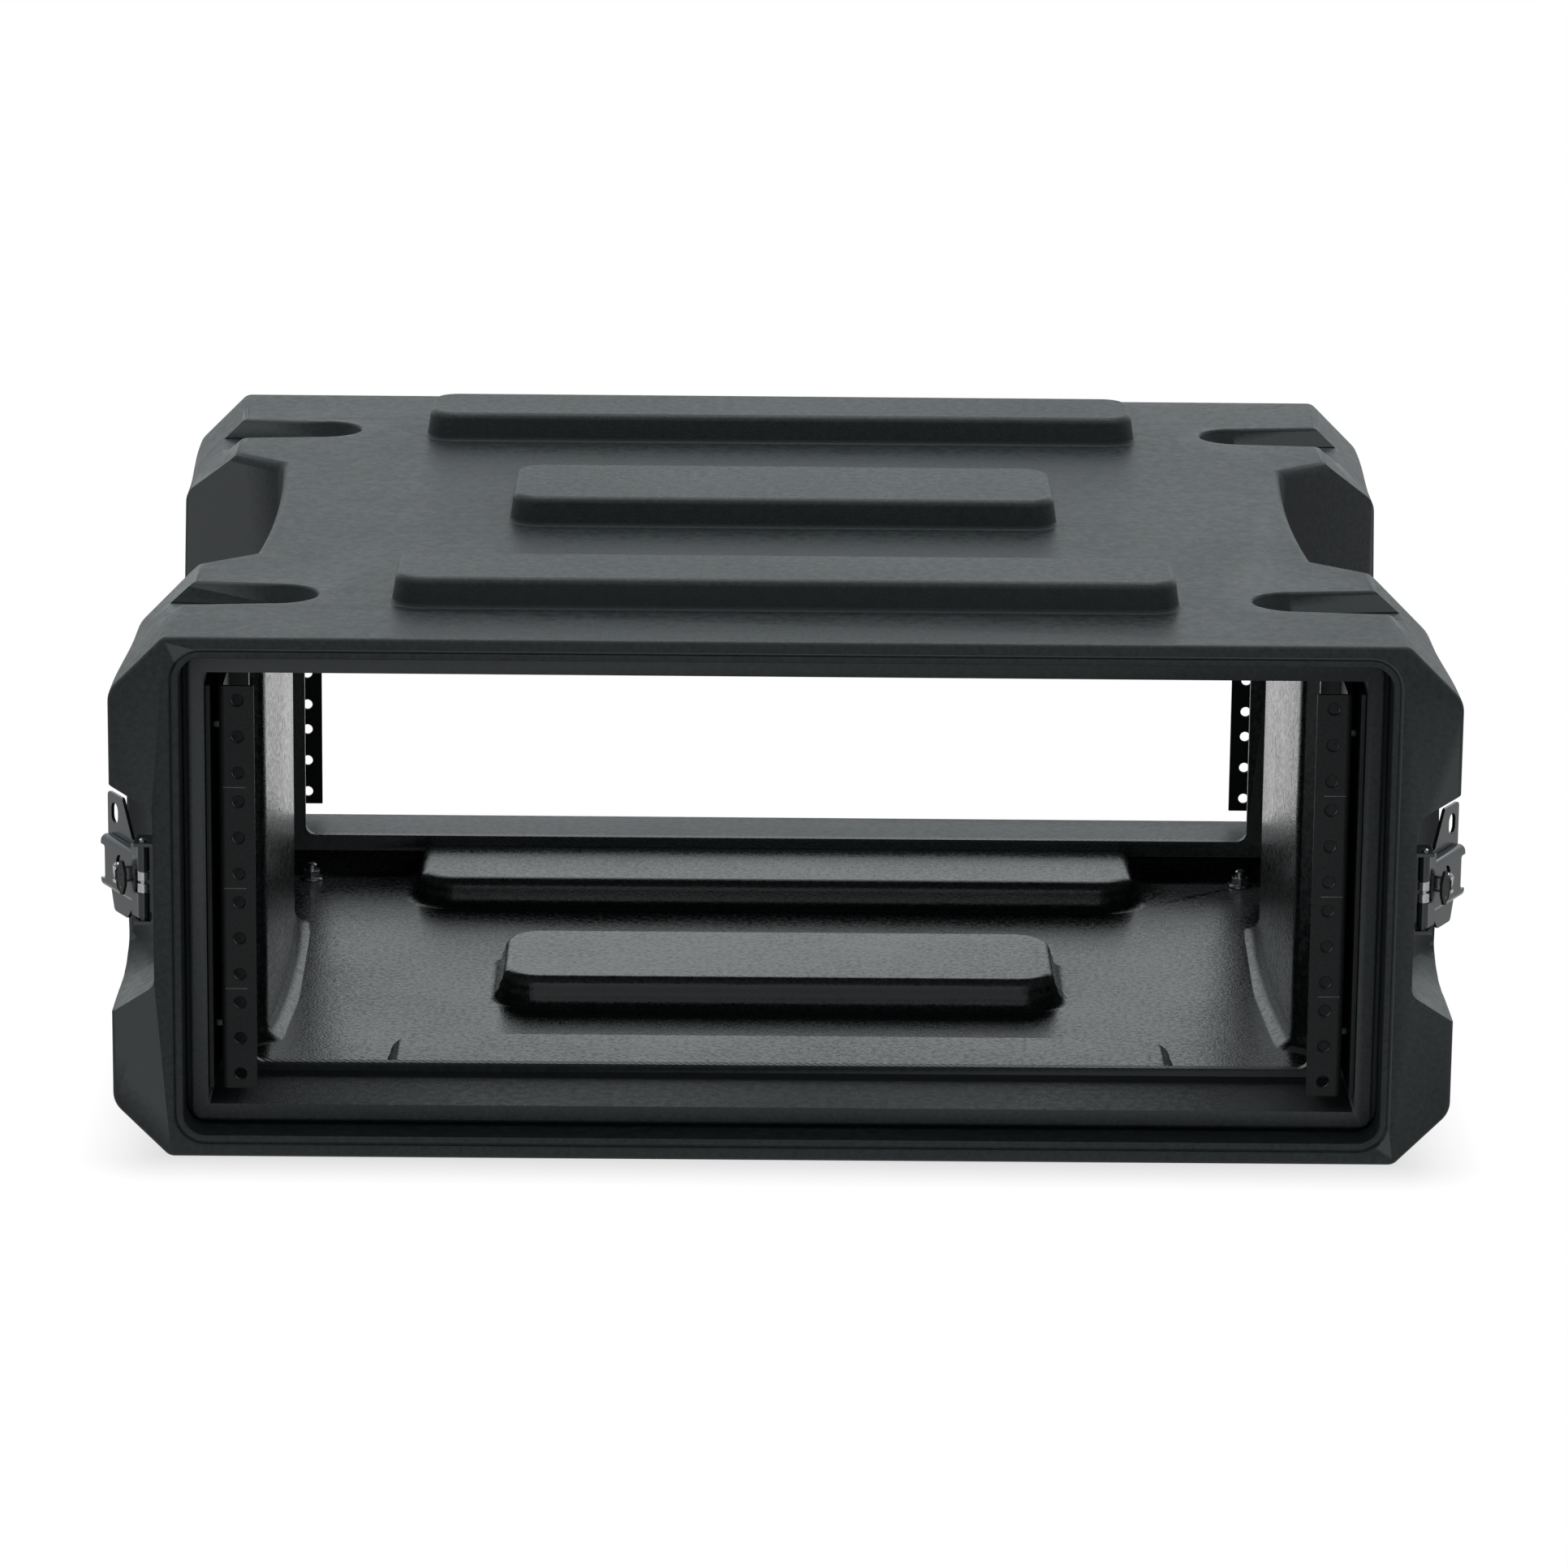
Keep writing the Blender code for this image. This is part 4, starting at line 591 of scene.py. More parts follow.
def eased(mesh, edge):
    """Mesh whose sharp edges have a small radius."""
    shape = bmesh.new()
    shape.from_mesh(mesh)
    bmesh.ops.remove_doubles(shape, verts=shape.verts, dist=0.00001)
    bmesh.ops.dissolve_limit(shape, angle_limit=math.radians(0.5), verts=shape.verts, edges=shape.edges,
                             delimit={"MATERIAL"})
    thing = new_object("easing", mesh_from("easing", shape, mesh))
    add_modifier(thing, "ease", "BEVEL", width=edge, segments=2, limit_method="ANGLE",
                 angle_limit=math.radians(30.0), miter_outer="MITER_ARC", use_clamp_overlap=True)
    return worked_out(thing)


def settled(thing, edge=0.0, sharp=35.0):
    """Plain smooth-shaded mesh of an object, with its edges eased if an edge is given."""
    mesh = worked_out(thing)
    if edge:
        mesh = eased(mesh, edge)
    mesh.shade_smooth()
    mesh.set_sharp_from_angle(angle=math.radians(sharp))
    return mesh


def machined(thing, edge=0.0002):
    """Settled mesh whose eased edges still look crisp."""
    return settled(thing, edge, 32.0)


def coated(mesh, number, *finishes):
    """Give a mesh its finishes, with the numbered one on all of its faces."""
    mesh.materials.clear()
    for one in finishes:
        mesh.materials.append(one)
    for face in mesh.polygons:
        face.material_index = number


STILL = Matrix.Identity(4)


def add_piece(name, mesh, node, body, slot, finish=None, place=STILL, side=1, end=1):
    """Finished piece that stands for a CAD node; a front right mesh is mirrored to the other corners.

    Weighted normals let the big flat faces set the shading, so that fillets don't bend it.
    """
    mesh = mesh.copy()
    mesh.transform(place)
    mesh.transform(Matrix.Diagonal((side, end, 1.0, 1.0)))
    if side * end < 0:
        mesh.flip_normals()
    if not finish or len(mesh.materials) < 2:
        coated(mesh, 0, finish or FINISHES[slot])
    piece = new_object(name, mesh)
    add_modifier(piece, "flats", "WEIGHTED_NORMAL", keep_sharp=True, weight=80)
    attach(piece, body)
    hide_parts(node)


def add_pieces(title, cad_title, parts, places=CORNERS):
    """Parts at every corner or side. A body other than the case ends in the name of the place."""
    for where, side, end in places:
        for kind, mesh, body, slot, finish, place in parts:
            body = body if body == "case" else f"{body}_{where}"
            add_piece(f"{title}_{kind}_{where}", mesh, f"{cad_title}{kind}_{where}", body, slot, finish,
                      place, side, end)
    print(title, [(kind, len(mesh.polygons), "faces") for kind, mesh, *_ in parts])


print("finishing helpers ready")

# %% [markdown]
# ## The moulded shell
# The case is blown in one mould, so its wall follows the outside everywhere. It could be sculpted,
# but its shape is regular: a block with cut corners, ribs on top, matching grooves below, and hollows
# for handles, latches and the feet of a case above. So it is built twice from the same sections,
# once as the outer skin and once moved inwards by the wall, and the second is cut from the first.
# Every soft edge is an arc in a section, which gives true radii. The outer box is taken from the
# frame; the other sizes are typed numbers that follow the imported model.

# %% Sizes of the shell
WALL, CHAMFER, RIB_HEIGHT = 0.004, 0.0237, 0.0132
shell_low, shell_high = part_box("case_shell")
HALF_WIDTH, HALF_DEPTH = shell_high[0], shell_high[1]
BODY_BOTTOM, BODY_TOP = shell_low[2], shell_high[2] - RIB_HEIGHT
BODY_MIDDLE = (BODY_BOTTOM + BODY_TOP) / 2
HALF_HEIGHT = (BODY_TOP - BODY_BOTTOM) / 2
CENTRE = (0.0, BODY_MIDDLE)
RAIL_FACE, RAIL_INNER_X = 0.2413, 0.2254
POCKET_HALF_WIDTH, POCKET_HALF_HEIGHT, POCKET_BACK = 0.2463, 0.0953, RAIL_FACE - 0.048
LIP_FRONT = RAIL_FACE + 0.002
BOLT_Y, BOLT_HEIGHTS = RAIL_FACE - 0.024, (BODY_MIDDLE - 0.0667, BODY_MIDDLE + 0.0667)
DRILL_RADIUS = 0.0029
BEYOND, SLIVER = 0.02, 0.0001
print("shell", round(2 * HALF_WIDTH, 4), round(2 * HALF_DEPTH, 4), round(2 * HALF_HEIGHT, 4))


# %% The block with cut corners
def fillet(radius, steps=6):
    """(outwards, away) pairs of a quarter circle that leaves a face and turns into a wall."""
    angles = [math.pi / 2 * step / steps for step in range(steps + 1)]
    return [(radius * (1 - math.sin(angle)), radius * (1 - math.cos(angle))) for angle in angles]


CUT_SHARP, CUT_SOFT, WAIST_ACROSS, WAIST_IN = 0.0055, 0.0110, 0.0055, 0.0025


def body_outline(inset, waist):
    """Front view of the body: a rectangle with cut corners, drawn in a little at the waist."""
    half_u, half_v = HALF_WIDTH - inset, HALF_HEIGHT - inset
    chamfer = CHAMFER - inset * (2 - math.sqrt(2))
    across_u, upright_u = half_u - chamfer - waist * WAIST_ACROSS, half_u - waist * WAIST_IN
    corners = []
    for su, sv in ((-1, -1), (1, -1), (1, 1), (-1, 1)):
        across = (su * across_u, sv * half_v, CUT_SHARP - inset)
        upright = (su * upright_u, sv * (half_v - chamfer), CUT_SOFT - inset)
        corners += [upright, across] if su * sv > 0 else [across, upright]
    corners = corners[:4] + [(half_u, 0.0, 0.0)] + corners[4:] + [(-half_u, 0.0, 0.0)]
    outline = []
    for index, (u, v, radius) in enumerate(corners):
        before, after = corners[index - 1][:2], corners[(index + 1) % len(corners)][:2]
        outline += arc_points((u, v), before, after, radius, 6) if radius else [Vector((u, v))]
    return [point + Vector(CENTRE) for point in outline]


def body_block(name, inset):
    """The body before anything is cut: full at both end faces and drawn in between them."""
    edge = [(inset, inset)] if inset else fillet(0.0016, 4)
    front = [(away - HALF_DEPTH, body_outline(out, 0.0)) for out, away in edge]
    for step in range(9):
        share = step / 8
        waist = share * share * (3 - 2 * share)
        front.append((0.010 + 0.095 * share - HALF_DEPTH, body_outline(inset, waist)))
    rear = [(-place, outline) for place, outline in reversed(front)]
    return lofted(name, "y", front + rear)


# %% Stacking ribs on top
RIB_PLACES = ((-0.176, 0.338, 0.053), (0.0, 0.247, 0.076), (0.176, 0.338, 0.053))
RIB_CORNER, RIB_DRAFT = 0.014, 0.0012


def across_the_case(name, place, length, width, levels):
    """Long low form at a place from front to back; it grows by a level's second number."""
    return lofted(name, "z", [(height, rounded_rectangle(length / 2 + grow, width / 2 + grow, RIB_CORNER + grow,
                                                         8, (0.0, place))) for height, grow in levels])


def rib_levels(start, base, foot, steps, top, shoulder):
    """(height, draw-in) pairs: a fillet of so many steps at the foot, a sloping wall, a round shoulder."""
    levels = [(start, -foot)] + [(base + away, -out) for out, away in fillet(foot, steps)]
    return levels + [(top - away, RIB_DRAFT + out) for out, away in reversed(fillet(shoulder))]


def stacking_ribs(inset):
    """Three raised ribs."""
    foot, shoulder = 0.0022 + inset, max(0.0030 - inset, 0.0006)
    base, top = BODY_TOP - inset - SLIVER, BODY_TOP + RIB_HEIGHT - inset
    levels = rib_levels(BODY_TOP - 3 * WALL, base, foot, 4, top, shoulder)
    levels = [(height, -(inset + draft)) for height, draft in levels]
    return [across_the_case("rib", *rib, levels) for rib in RIB_PLACES]


# %% Stacking grooves underneath
def stacking_grooves(inset):
    """Three grooves that take the ribs of the case below; inside they are the humps of the floor."""
    play, extra = 0.0012, 0.018
    mouth, bend = 0.0025 + inset, 0.0012 + inset
    ceiling = BODY_BOTTOM + RIB_HEIGHT + play / 2 + inset
    levels = rib_levels(BODY_BOTTOM - WALL, BODY_BOTTOM + inset - SLIVER, mouth, 6, ceiling, bend)
    levels = [(height, play + inset - draft) for height, draft in levels]
    grooves = []
    for place, length, width in RIB_PLACES:
        outer = extra if place else 0.0
        middle = math.copysign(abs(place) - outer / 2, place)
        grooves.append(across_the_case("groove", middle, length, width + outer, levels))
    return grooves


# %% Handle recesses
RECESS_INNER_X = RAIL_INNER_X + WALL + 0.0016
RECESS_HALF, RECESS_BOW, MOUTH_RADIUS = 0.095, 0.0035, 0.012


def recess_outline(side, inset):
    """Plan of the upright channel for a handle: a bowed back and slanting ends with round mouths."""
    angle = math.radians(42.0)
    inner, side_x = RECESS_INNER_X - inset, HALF_WIDTH - inset
    ends_x = inner + RECESS_BOW
    half = RECESS_HALF + inset * math.tan(angle / 2)
    corner_y = half + (side_x - ends_x) * math.tan(angle)
    wall = [(side_x, corner_y + 2 * MOUTH_RADIUS), (side_x, corner_y), (ends_x, half), (inner, 0.0)]
    lip = arc_points(wall[1], wall[0], wall[2], MOUTH_RADIUS + inset, 8)
    corner = arc_points(wall[2], wall[1], wall[3], 0.010, 6)
    bow = [Vector((inner + RECESS_BOW * share * share, half * share)) for share in (0.8, 0.6, 0.4, 0.2)]
    quarter = [Vector((HALF_WIDTH + 2 * WALL, lip[0].y))] + lip + corner + bow
    outline = quarter + [Vector((inner, 0.0))] + [Vector((p.x, -p.y)) for p in reversed(quarter)]
    return [(side * p.x, p.y) for p in outline]


def handle_recess(side, inset):
    """Channel down one side, whose edges roll over into the top and the bottom."""
    top_roll = max(0.0050 - inset, 0.0006)
    bottom_roll = 0.0080 if inset else 0.0050
    low, high = BODY_BOTTOM + inset - SLIVER, BODY_TOP - inset + SLIVER
    levels = [(BODY_BOTTOM - BEYOND, bottom_roll)]
    levels += [(low + away, out) for out, away in fillet(bottom_roll)]
    levels += [(high - away, out) for out, away in reversed(fillet(top_roll))]
    levels.append((BODY_TOP + BEYOND, top_roll))
    sections = [(height, recess_outline(side, inset + out)) for height, out in levels]
    return lofted(f"recess_{side}", "z", sections)


# %% Latch scoops
SCOOP_DEPTH = 0.0182


def latch_scoop(side, end, inset):
    """Hollow for one latch: flat at the end face, then sweeping out to meet the side wall."""
    run, flat, slope = 0.081, 0.045, 0.63
    floor_x = HALF_WIDTH - SCOOP_DEPTH
    radius = ((run - flat) ** 2 + SCOOP_DEPTH ** 2) / (2 * SCOOP_DEPTH)
    half = 0.0385 + inset * (math.sqrt(1 + slope ** 2) - slope)
    beyond = HALF_WIDTH + SCOOP_DEPTH + 2 * WALL
    sections = []
    for behind in [-2 * WALL, flat] + [flat + (run + WALL - flat) * step / 16 for step in range(1, 17)]:
        past = max(behind - flat, 0.0)
        floor = floor_x + radius - math.sqrt(max((radius + inset) ** 2 - past ** 2, 0.0))
        reach = half + (beyond - floor) * slope
        corners = [(floor, -half), (floor, half)]
        outline = [Vector((beyond, -reach))]
        outline += arc_points(corners[0], (beyond, -reach), corners[1], 0.006 + inset, 6)
        outline += arc_points(corners[1], corners[0], (beyond, reach), 0.006 + inset, 6)
        outline.append(Vector((beyond, reach)))
        sections.append((-end * (HALF_DEPTH - behind), [(side * p.x, p.y + BODY_MIDDLE) for p in outline]))
    return lofted(f"scoop_{side}_{end}", "y", sections)


# %% Foot slots
FOOT_X, FOOT_Y = 0.2270, 0.1760


SLOT_TIP, SLOT_RUN, SLOT_WIDE, SLOT_NARROW, SLOT_DEPTH = 0.202, 0.019, 0.0255, 0.018, 0.0095


def slot_outline(grow):
    """Plan of a slot: two edges that draw together inwards and end in half an oval."""
    outer, tip, run = HALF_WIDTH + 2 * WALL, SLOT_TIP - grow, SLOT_RUN + grow
    wide, narrow = SLOT_WIDE + grow, SLOT_NARROW + grow
    outline = [Vector((outer, -wide))]
    for step in range(25):
        angle = math.pi * step / 24 - math.pi / 2
        outline.append(Vector((tip + run * (1 - math.cos(angle)), narrow * math.sin(angle))))
    return outline + [Vector((outer, wide))]


def foot_slot(side, end, inset):
    """Hollow in a top corner for a foot of the case above; it runs out through the cut corner."""
    roll, draft, bend = max(0.0020 - inset, 0.0005), 0.0022, 0.0008
    high, low = BODY_TOP - inset + SLIVER, BODY_TOP - SLOT_DEPTH - inset
    levels = [(BODY_TOP + 2 * WALL, roll)] + [(high - away, out) for out, away in fillet(roll)]
    levels += [(low + away, out - draft - bend) for out, away in reversed(fillet(bend, 3))]
    sections = []
    for height, out in levels:
        sections.append((height, [(side * p.x, p.y - end * FOOT_Y) for p in slot_outline(inset + out)]))
    return lofted(f"slot_{side}_{end}", "z", sections)


# %% Lid seat, lip and rail pocket
def seat_outline(grow, radius):
    """Rounded rectangle that follows the rail pocket at a distance outside it."""
    return rounded_rectangle(POCKET_HALF_WIDTH + grow, POCKET_HALF_HEIGHT + grow, radius, 8, CENTRE)


def seat_plug(end, inset):
    """Cut that leaves the lid's seat: a small step, a round bead and the deep seal groove."""
    step_out, bead_out, groove_out, sink = 0.0132, 0.0127, 0.0096, 0.0012
    if inset:
        profile = [(-2 * WALL, step_out), (sink, step_out), (2 * sink, groove_out), (0.0220, groove_out)]
    else:
        profile = [(-2 * WALL, step_out + 0.0008), (-SLIVER, step_out + 0.0008), (0.0004, step_out + 0.0002),
                   (sink, step_out)]
        middle, half = (bead_out + groove_out) / 2, (bead_out - groove_out) / 2
        for step in range(9):
            angle = math.pi * step / 8
            profile.append((0.0016 - 0.0011 * math.sin(angle), middle + half * math.cos(angle)))
        profile += [(0.0215, groove_out), (0.0220, groove_out - 0.0004)]
    sections = []
    for depth, out in profile:
        behind = depth + inset if depth > 0 else depth
        sections.append((-end * (HALF_DEPTH - behind), seat_outline(out + inset, out + inset)))
    return lofted(f"seat_{end}", "y", sections)


def lip_block(end, inset):
    """Block that becomes the lip inside the seal groove once the pocket is cut through it."""
    front, back = LIP_FRONT - inset, LIP_FRONT - 0.006 - 3 * WALL
    out_of_pocket, corner = 0.0072 - inset, 0.005
    round_over = [(0.0, 0.0)] if inset else fillet(0.0009, 4)
    sections = [(-end * (front - away), seat_outline(out_of_pocket - out, corner - out))
                for out, away in round_over]
    return lofted(f"lip_{end}", "y", sections + [(-end * back, seat_outline(out_of_pocket, corner))])


def rail_pocket(end, inset):
    """Square pocket behind the lip that holds the pair of rails."""
    outline = rounded_rectangle(POCKET_HALF_WIDTH + inset, POCKET_HALF_HEIGHT + inset, 0.0012, 3, CENTRE)
    return prism(f"pocket_{end}", "y", outline, -end * (HALF_DEPTH + WALL), -end * (POCKET_BACK - inset))

# %% [markdown]
# ### Cutting the shell
# A Boolean gives every new face the finish of the cutter that made it. So the inner form carries the
# glossy skin and the router's cut the routed edge. The drills carry none and leave the outer skin.


# %% Build the shell
SHELL_FINISHES = (OUTER_SKIN, INNER_SKIN, ROUTED_EDGE)


def finished_form(name, inset, finish_number):
    """The body's form at an inset, with one finish number on all of its faces."""
    form = body_block(name, inset)
    joined(form, *stacking_ribs(inset))
    cut(form, *stacking_grooves(inset))
    for _, side in SIDES:
        cut(form, handle_recess(side, inset))
        for _, end in ENDS:
            cut(form, latch_scoop(side, end, inset), foot_slot(side, end, inset))
    for _, end in ENDS:
        cut(form, seat_plug(end, inset))
        joined(form, lip_block(end, inset))
        cut(form, rail_pocket(end, inset))
    mesh = settled(form)
    coated(mesh, finish_number, *SHELL_FINISHES)
    print(name, len(mesh.polygons), "faces")
    return new_object(name, mesh)


shell = cut(finished_form("outer_form", 0.0, 0), finished_form("inner_form", WALL, 1))
for _, end in ENDS:
    hole = rounded_rectangle(POCKET_HALF_WIDTH - 0.0155, POCKET_HALF_HEIGHT - 0.0038, 0.005, 8, CENTRE)
    middle = -end * (POCKET_BACK - WALL / 2)
    router = prism(f"router_{end}", "y", hole, middle - WALL, middle + WALL)
    coated(router.data, 2, *SHELL_FINISHES)
    cut(shell, router)
    for _, side in SIDES:
        cut(shell, rod("foot_drill", "z", DRILL_RADIUS, BODY_BOTTOM - WALL, BODY_BOTTOM + 2 * WALL,
                       (side * FOOT_X, -end * FOOT_Y), 16))
        near, far = side * (POCKET_HALF_WIDTH - WALL / 2), side * (POCKET_HALF_WIDTH + 1.5 * WALL)
        for height in BOLT_HEIGHTS:
            cut(shell, rod("rail_drill", "x", DRILL_RADIUS, near, far, (-end * BOLT_Y, height), 16))
mesh = machined(shell, 0.0007)
add_piece("moulded_shell", mesh, "case_shell", "case", "shell", OUTER_SKIN)
print("shell", len(mesh.polygons), "faces", [made.name for made in mesh.materials])

# %% [markdown]
# ## Rack rails
# A rail is a strip of steel folded three times: a flange with the mounting holes, a web beside the
# opening and a leg folded back against the case. Its section is a folded sheet drawn once and given
# the rail's height. The holes are cut on the rack standard's steps, and a scriber's line marks each
# unit on the flange, which is how a fitter counts them.

# %% Rail
UNIT, UNIT_HOLES = 0.04445, (0.00635, 0.022225, 0.0381)
RAIL_LOW, RAIL_STEEL = BODY_MIDDLE - 2 * UNIT, 0.002
HOLE_COLUMN, HOLE_RADIUS, SINK_RADIUS = 0.23255, 0.0025, 0.0035
LINE_FROM, LINE_TO, LINE_HALF = 0.2292, 0.2393, 0.0002


def circle(radius, centre):
    """Outline of a circle."""
    turns = [2 * math.pi * step / 24 for step in range(24)]
    return [(centre[0] + radius * math.cos(turn), centre[1] + radius * math.sin(turn)) for turn in turns]


def rail_mesh():
    """Front right rail."""
    front = -RAIL_FACE
    face, web = front + RAIL_STEEL / 2, RAIL_INNER_X + 0.015 - RAIL_STEEL / 2
    leg, back = web + RAIL_STEEL + 0.0036, front + 0.042
    path = [(RAIL_INNER_X, face), (web, face), (web, back), (leg, back), (leg, front + RAIL_STEEL / 4)]
    folded = prism("folded_strip", "z", sheet_outline(path, RAIL_STEEL, 0.0018), RAIL_LOW, RAIL_LOW + 4 * UNIT)
    rail = new_object("rail_blank", machined(folded))
    rings = ((front - 0.0006, SINK_RADIUS), (front + 0.0005, HOLE_RADIUS), (front + WALL, HOLE_RADIUS))
    cutters = []
    for unit in range(4):
        low = RAIL_LOW + unit * UNIT
        for height in UNIT_HOLES:
            sections = [(place, circle(radius, (HOLE_COLUMN, low + height))) for place, radius in rings]
            cutters.append(lofted("mounting_hole", "y", sections))
        if unit:
            line = box("unit_line", (LINE_FROM, front - WALL, low - LINE_HALF),
                       (LINE_TO, front + 0.0002, low + LINE_HALF))
            coated(line.data, 1, DULL_STEEL, SCRIBED_LINE)
            cutters.append(line)
    for height in BOLT_HEIGHTS:
        cutters.append(rod("web_hole", "x", DRILL_RADIUS, RAIL_INNER_X + WALL, POCKET_HALF_WIDTH + WALL,
                           (-BOLT_Y, height), 16))
    coated(rail.data, 0, DULL_STEEL, SCRIBED_LINE)
    return settled(cut(rail, *cutters))


rail = rail_mesh()
add_pieces("rack", "", [("rail", rail, "case", "steel", DULL_STEEL, STILL)])

# %% [markdown]
# ## Bolts and nuts
# Small fasteners are turned: a button head with a hexagon socket, a shank and a nut. Only heads and
# nuts are ever seen, so they get the detail and the shank stays plain.


# %% Rail bolts
NUT_RADIUS, NUT_HEIGHT, BOLT_GAP = 0.0046, 0.0045, 0.0003


def button_bolt(name, under, tip):
    """Bolt along Z, head down: its head starts at under and its shank ends at tip."""
    radius, head, height = 0.0025, 0.0047, 0.0027
    dome = [(head * math.cos(angle), under - height * (0.25 + 0.75 * math.sin(angle)))
            for angle in [math.pi / 2 * step / 8 for step in range(9)]]
    profile = [(0.0, tip), (radius * 0.7, tip), (radius, tip - 0.0007), (radius, under), (head, under)]
    bolt = turned(name, profile + dome[:-1] + [(0.0, under - height)], 28)
    return cut(bolt, rod("socket", "z", 0.0017, under - 2 * height, under - height * 0.45, steps=6))


rail_bolt = button_bolt("rail_bolt_blank", RAIL_INNER_X + 0.0127, POCKET_HALF_WIDTH + 0.0103)
low = POCKET_HALF_WIDTH + WALL + BOLT_GAP
mesh = machined(joined(rail_bolt, rod("nut_blank", "z", NUT_RADIUS, low, low + NUT_HEIGHT, steps=6)))
mesh.transform(FRAMES["x"])
for corner, side, end in CORNERS:
    for level, height in zip(("upper", "lower"), reversed(BOLT_HEIGHTS)):
        add_piece(f"rail_fastener_{corner}_{level}", mesh, f"rail_bolt_{corner}_{level}", "case", "steel",
                  place=Matrix.Translation((0.0, -BOLT_Y, height)), side=side, end=end)
print("rail bolt", len(mesh.polygons), "faces")

# %% Feet with their bolts and nuts
FOOT_HEIGHT, FOOT_RADIUS, FOOT_EDGE = 0.008, 0.0155, 0.0024
RECESS_RADIUS, RECESS_DEPTH = 0.0065, 0.0046
top = FOOT_HEIGHT - 0.0003
profile = [(DRILL_RADIUS, top), (FOOT_RADIUS - 0.0006, top), (FOOT_RADIUS, top - 0.0006)]
profile += [(FOOT_RADIUS - out, away) for out, away in reversed(fillet(FOOT_EDGE))]
profile += [(RECESS_RADIUS + 0.0005, 0.0), (RECESS_RADIUS, 0.0005), (RECESS_RADIUS, RECESS_DEPTH),
            (DRILL_RADIUS, RECESS_DEPTH)]
foot = settled(turned("foot_blank", profile, 48))
foot_bolt = machined(button_bolt("foot_bolt_blank", RECESS_DEPTH - BOLT_GAP, FOOT_HEIGHT + WALL + 0.0081), 0.0)
low = BODY_BOTTOM + WALL + BOLT_GAP
flange = rod("nut_flange", "z", 0.0062, low, low + 0.0012, end_radius=0.0056)
hexagon = rod("nut_hexagon", "z", NUT_RADIUS, low + 0.0006, low + NUT_HEIGHT, steps=6)
bore = rod("nut_bore", "z", 0.0028, low - WALL, low + 2 * WALL, steps=24)
foot_nut = machined(cut(joined(flange, hexagon), bore))
at_foot = Matrix.Translation((FOOT_X, -FOOT_Y, 0.0))
add_pieces("round", "", [
    ("foot", foot, "case", "rubber", None, at_foot),
    ("foot_bolt", foot_bolt, "case", "zinc", None, at_foot),
    ("foot_nut", foot_nut, "case", "zinc", None, at_foot),
])

# %% [markdown]
# ## Latches
# Each corner has a twist latch. A folded bracket sits in the scoop and holds a hinge pin. A cover
# swings on the pin: a channel with rolled edges, an eye for the hub and a notch at its free end.
# Behind it lies the padlock plate. The hub turns in both, and its little wing folds flat. They are
# drawn flat in one frame, x away from the case, y along the cover, z up. Then all but the bracket and
# the pin are swung to their angle.

# %% Latch sizes
STEEL, FREE = 0.0016, 0.0003
BARREL, PIN, PIN_MIDDLE = 0.0027, 0.0016, 0.0026
BRACKET_HEIGHT, KNUCKLE_START = 0.036, 0.0050
KNUCKLE_END = BRACKET_HEIGHT / 2 - STEEL - 0.0005
COVER_FACE, COVER_DEPTH, COVER_LENGTH, COVER_HEIGHT, COVER_START = 0.0025, 0.0048, 0.0405, 0.0232, 0.0062
HASP_FACE, HASP_LENGTH, TAB_RISE, TAB_DROP = COVER_FACE - COVER_DEPTH - FREE, 0.0445, 0.0296, 0.0228
HUB_ALONG, HUB_RADIUS, HUB_SHAFT = 0.0198, 0.0042, 0.0027
WING_REACH, WING_HEIGHT, WING_STEEL, WING_BARREL, EAR_INNER = 0.0092, 0.0148, 0.0012, 0.0010, 0.0024
WING_OUT, WING_BACK = COVER_FACE + 0.0032, -HUB_RADIUS - 0.0004
HINGE_STAND, LATCH_ANGLE = 0.0057, math.radians(28.0)
HINGE = Vector((HALF_WIDTH - SCOOP_DEPTH + HINGE_STAND, -(HALF_DEPTH - 0.021), BODY_MIDDLE + 0.002))
print("hinge of the front right latch", [round(value, 4) for value in HINGE])


# %% Bracket and pin
def latch_bracket():
    """Folded bracket with an ear above and below the hinge."""
    base, ear_out, ear = -HINGE_STAND + FREE + STEEL / 2, PIN + 0.0022, BRACKET_HEIGHT / 2 - STEEL / 2
    path = [(ear_out, ear), (base, ear), (base, -ear), (ear_out, -ear)]
    bracket = prism("bracket_blank", "y", sheet_outline(path, STEEL, STEEL * 0.8), -0.005, 0.0115)
    trims = [box("ear_trim", (base - BRACKET_HEIGHT, 0.010, sign * ear - STEEL),
                 (BRACKET_HEIGHT, 0.0165, sign * ear + STEEL)) for sign in (-1, 1)]
    drill = rod("bracket_drill", "z", PIN + FREE, -BRACKET_HEIGHT, BRACKET_HEIGHT)
    return machined(cut(bracket, drill, *trims))


def both_halves(upper):
    """Upper half of an outline or profile, and its mirror image below."""
    return upper + [(out, -up) for out, up in reversed(upper)]


def latch_pin():
    """Hinge pin with peened ends, thick and bright between the knuckles, with a dark groove."""
    end, thick, ring, edge = BRACKET_HEIGHT / 2 + 0.0010, 0.0047, 0.0006, 0.0002
    upper = [(0.0, end), (PIN * 0.7, end - 0.0001), (PIN, end - 0.0005), (PIN, thick),
             (PIN_MIDDLE - edge, thick), (PIN_MIDDLE, thick - edge), (PIN_MIDDLE, ring + edge),
             (PIN_MIDDLE - edge, ring), (PIN_MIDDLE - 0.0012, ring)]
    return settled(turned("pin_blank", both_halves(upper)))


bracket_mesh, pin_mesh = latch_bracket(), latch_pin()
print("bracket", len(bracket_mesh.polygons), "pin", len(pin_mesh.polygons))


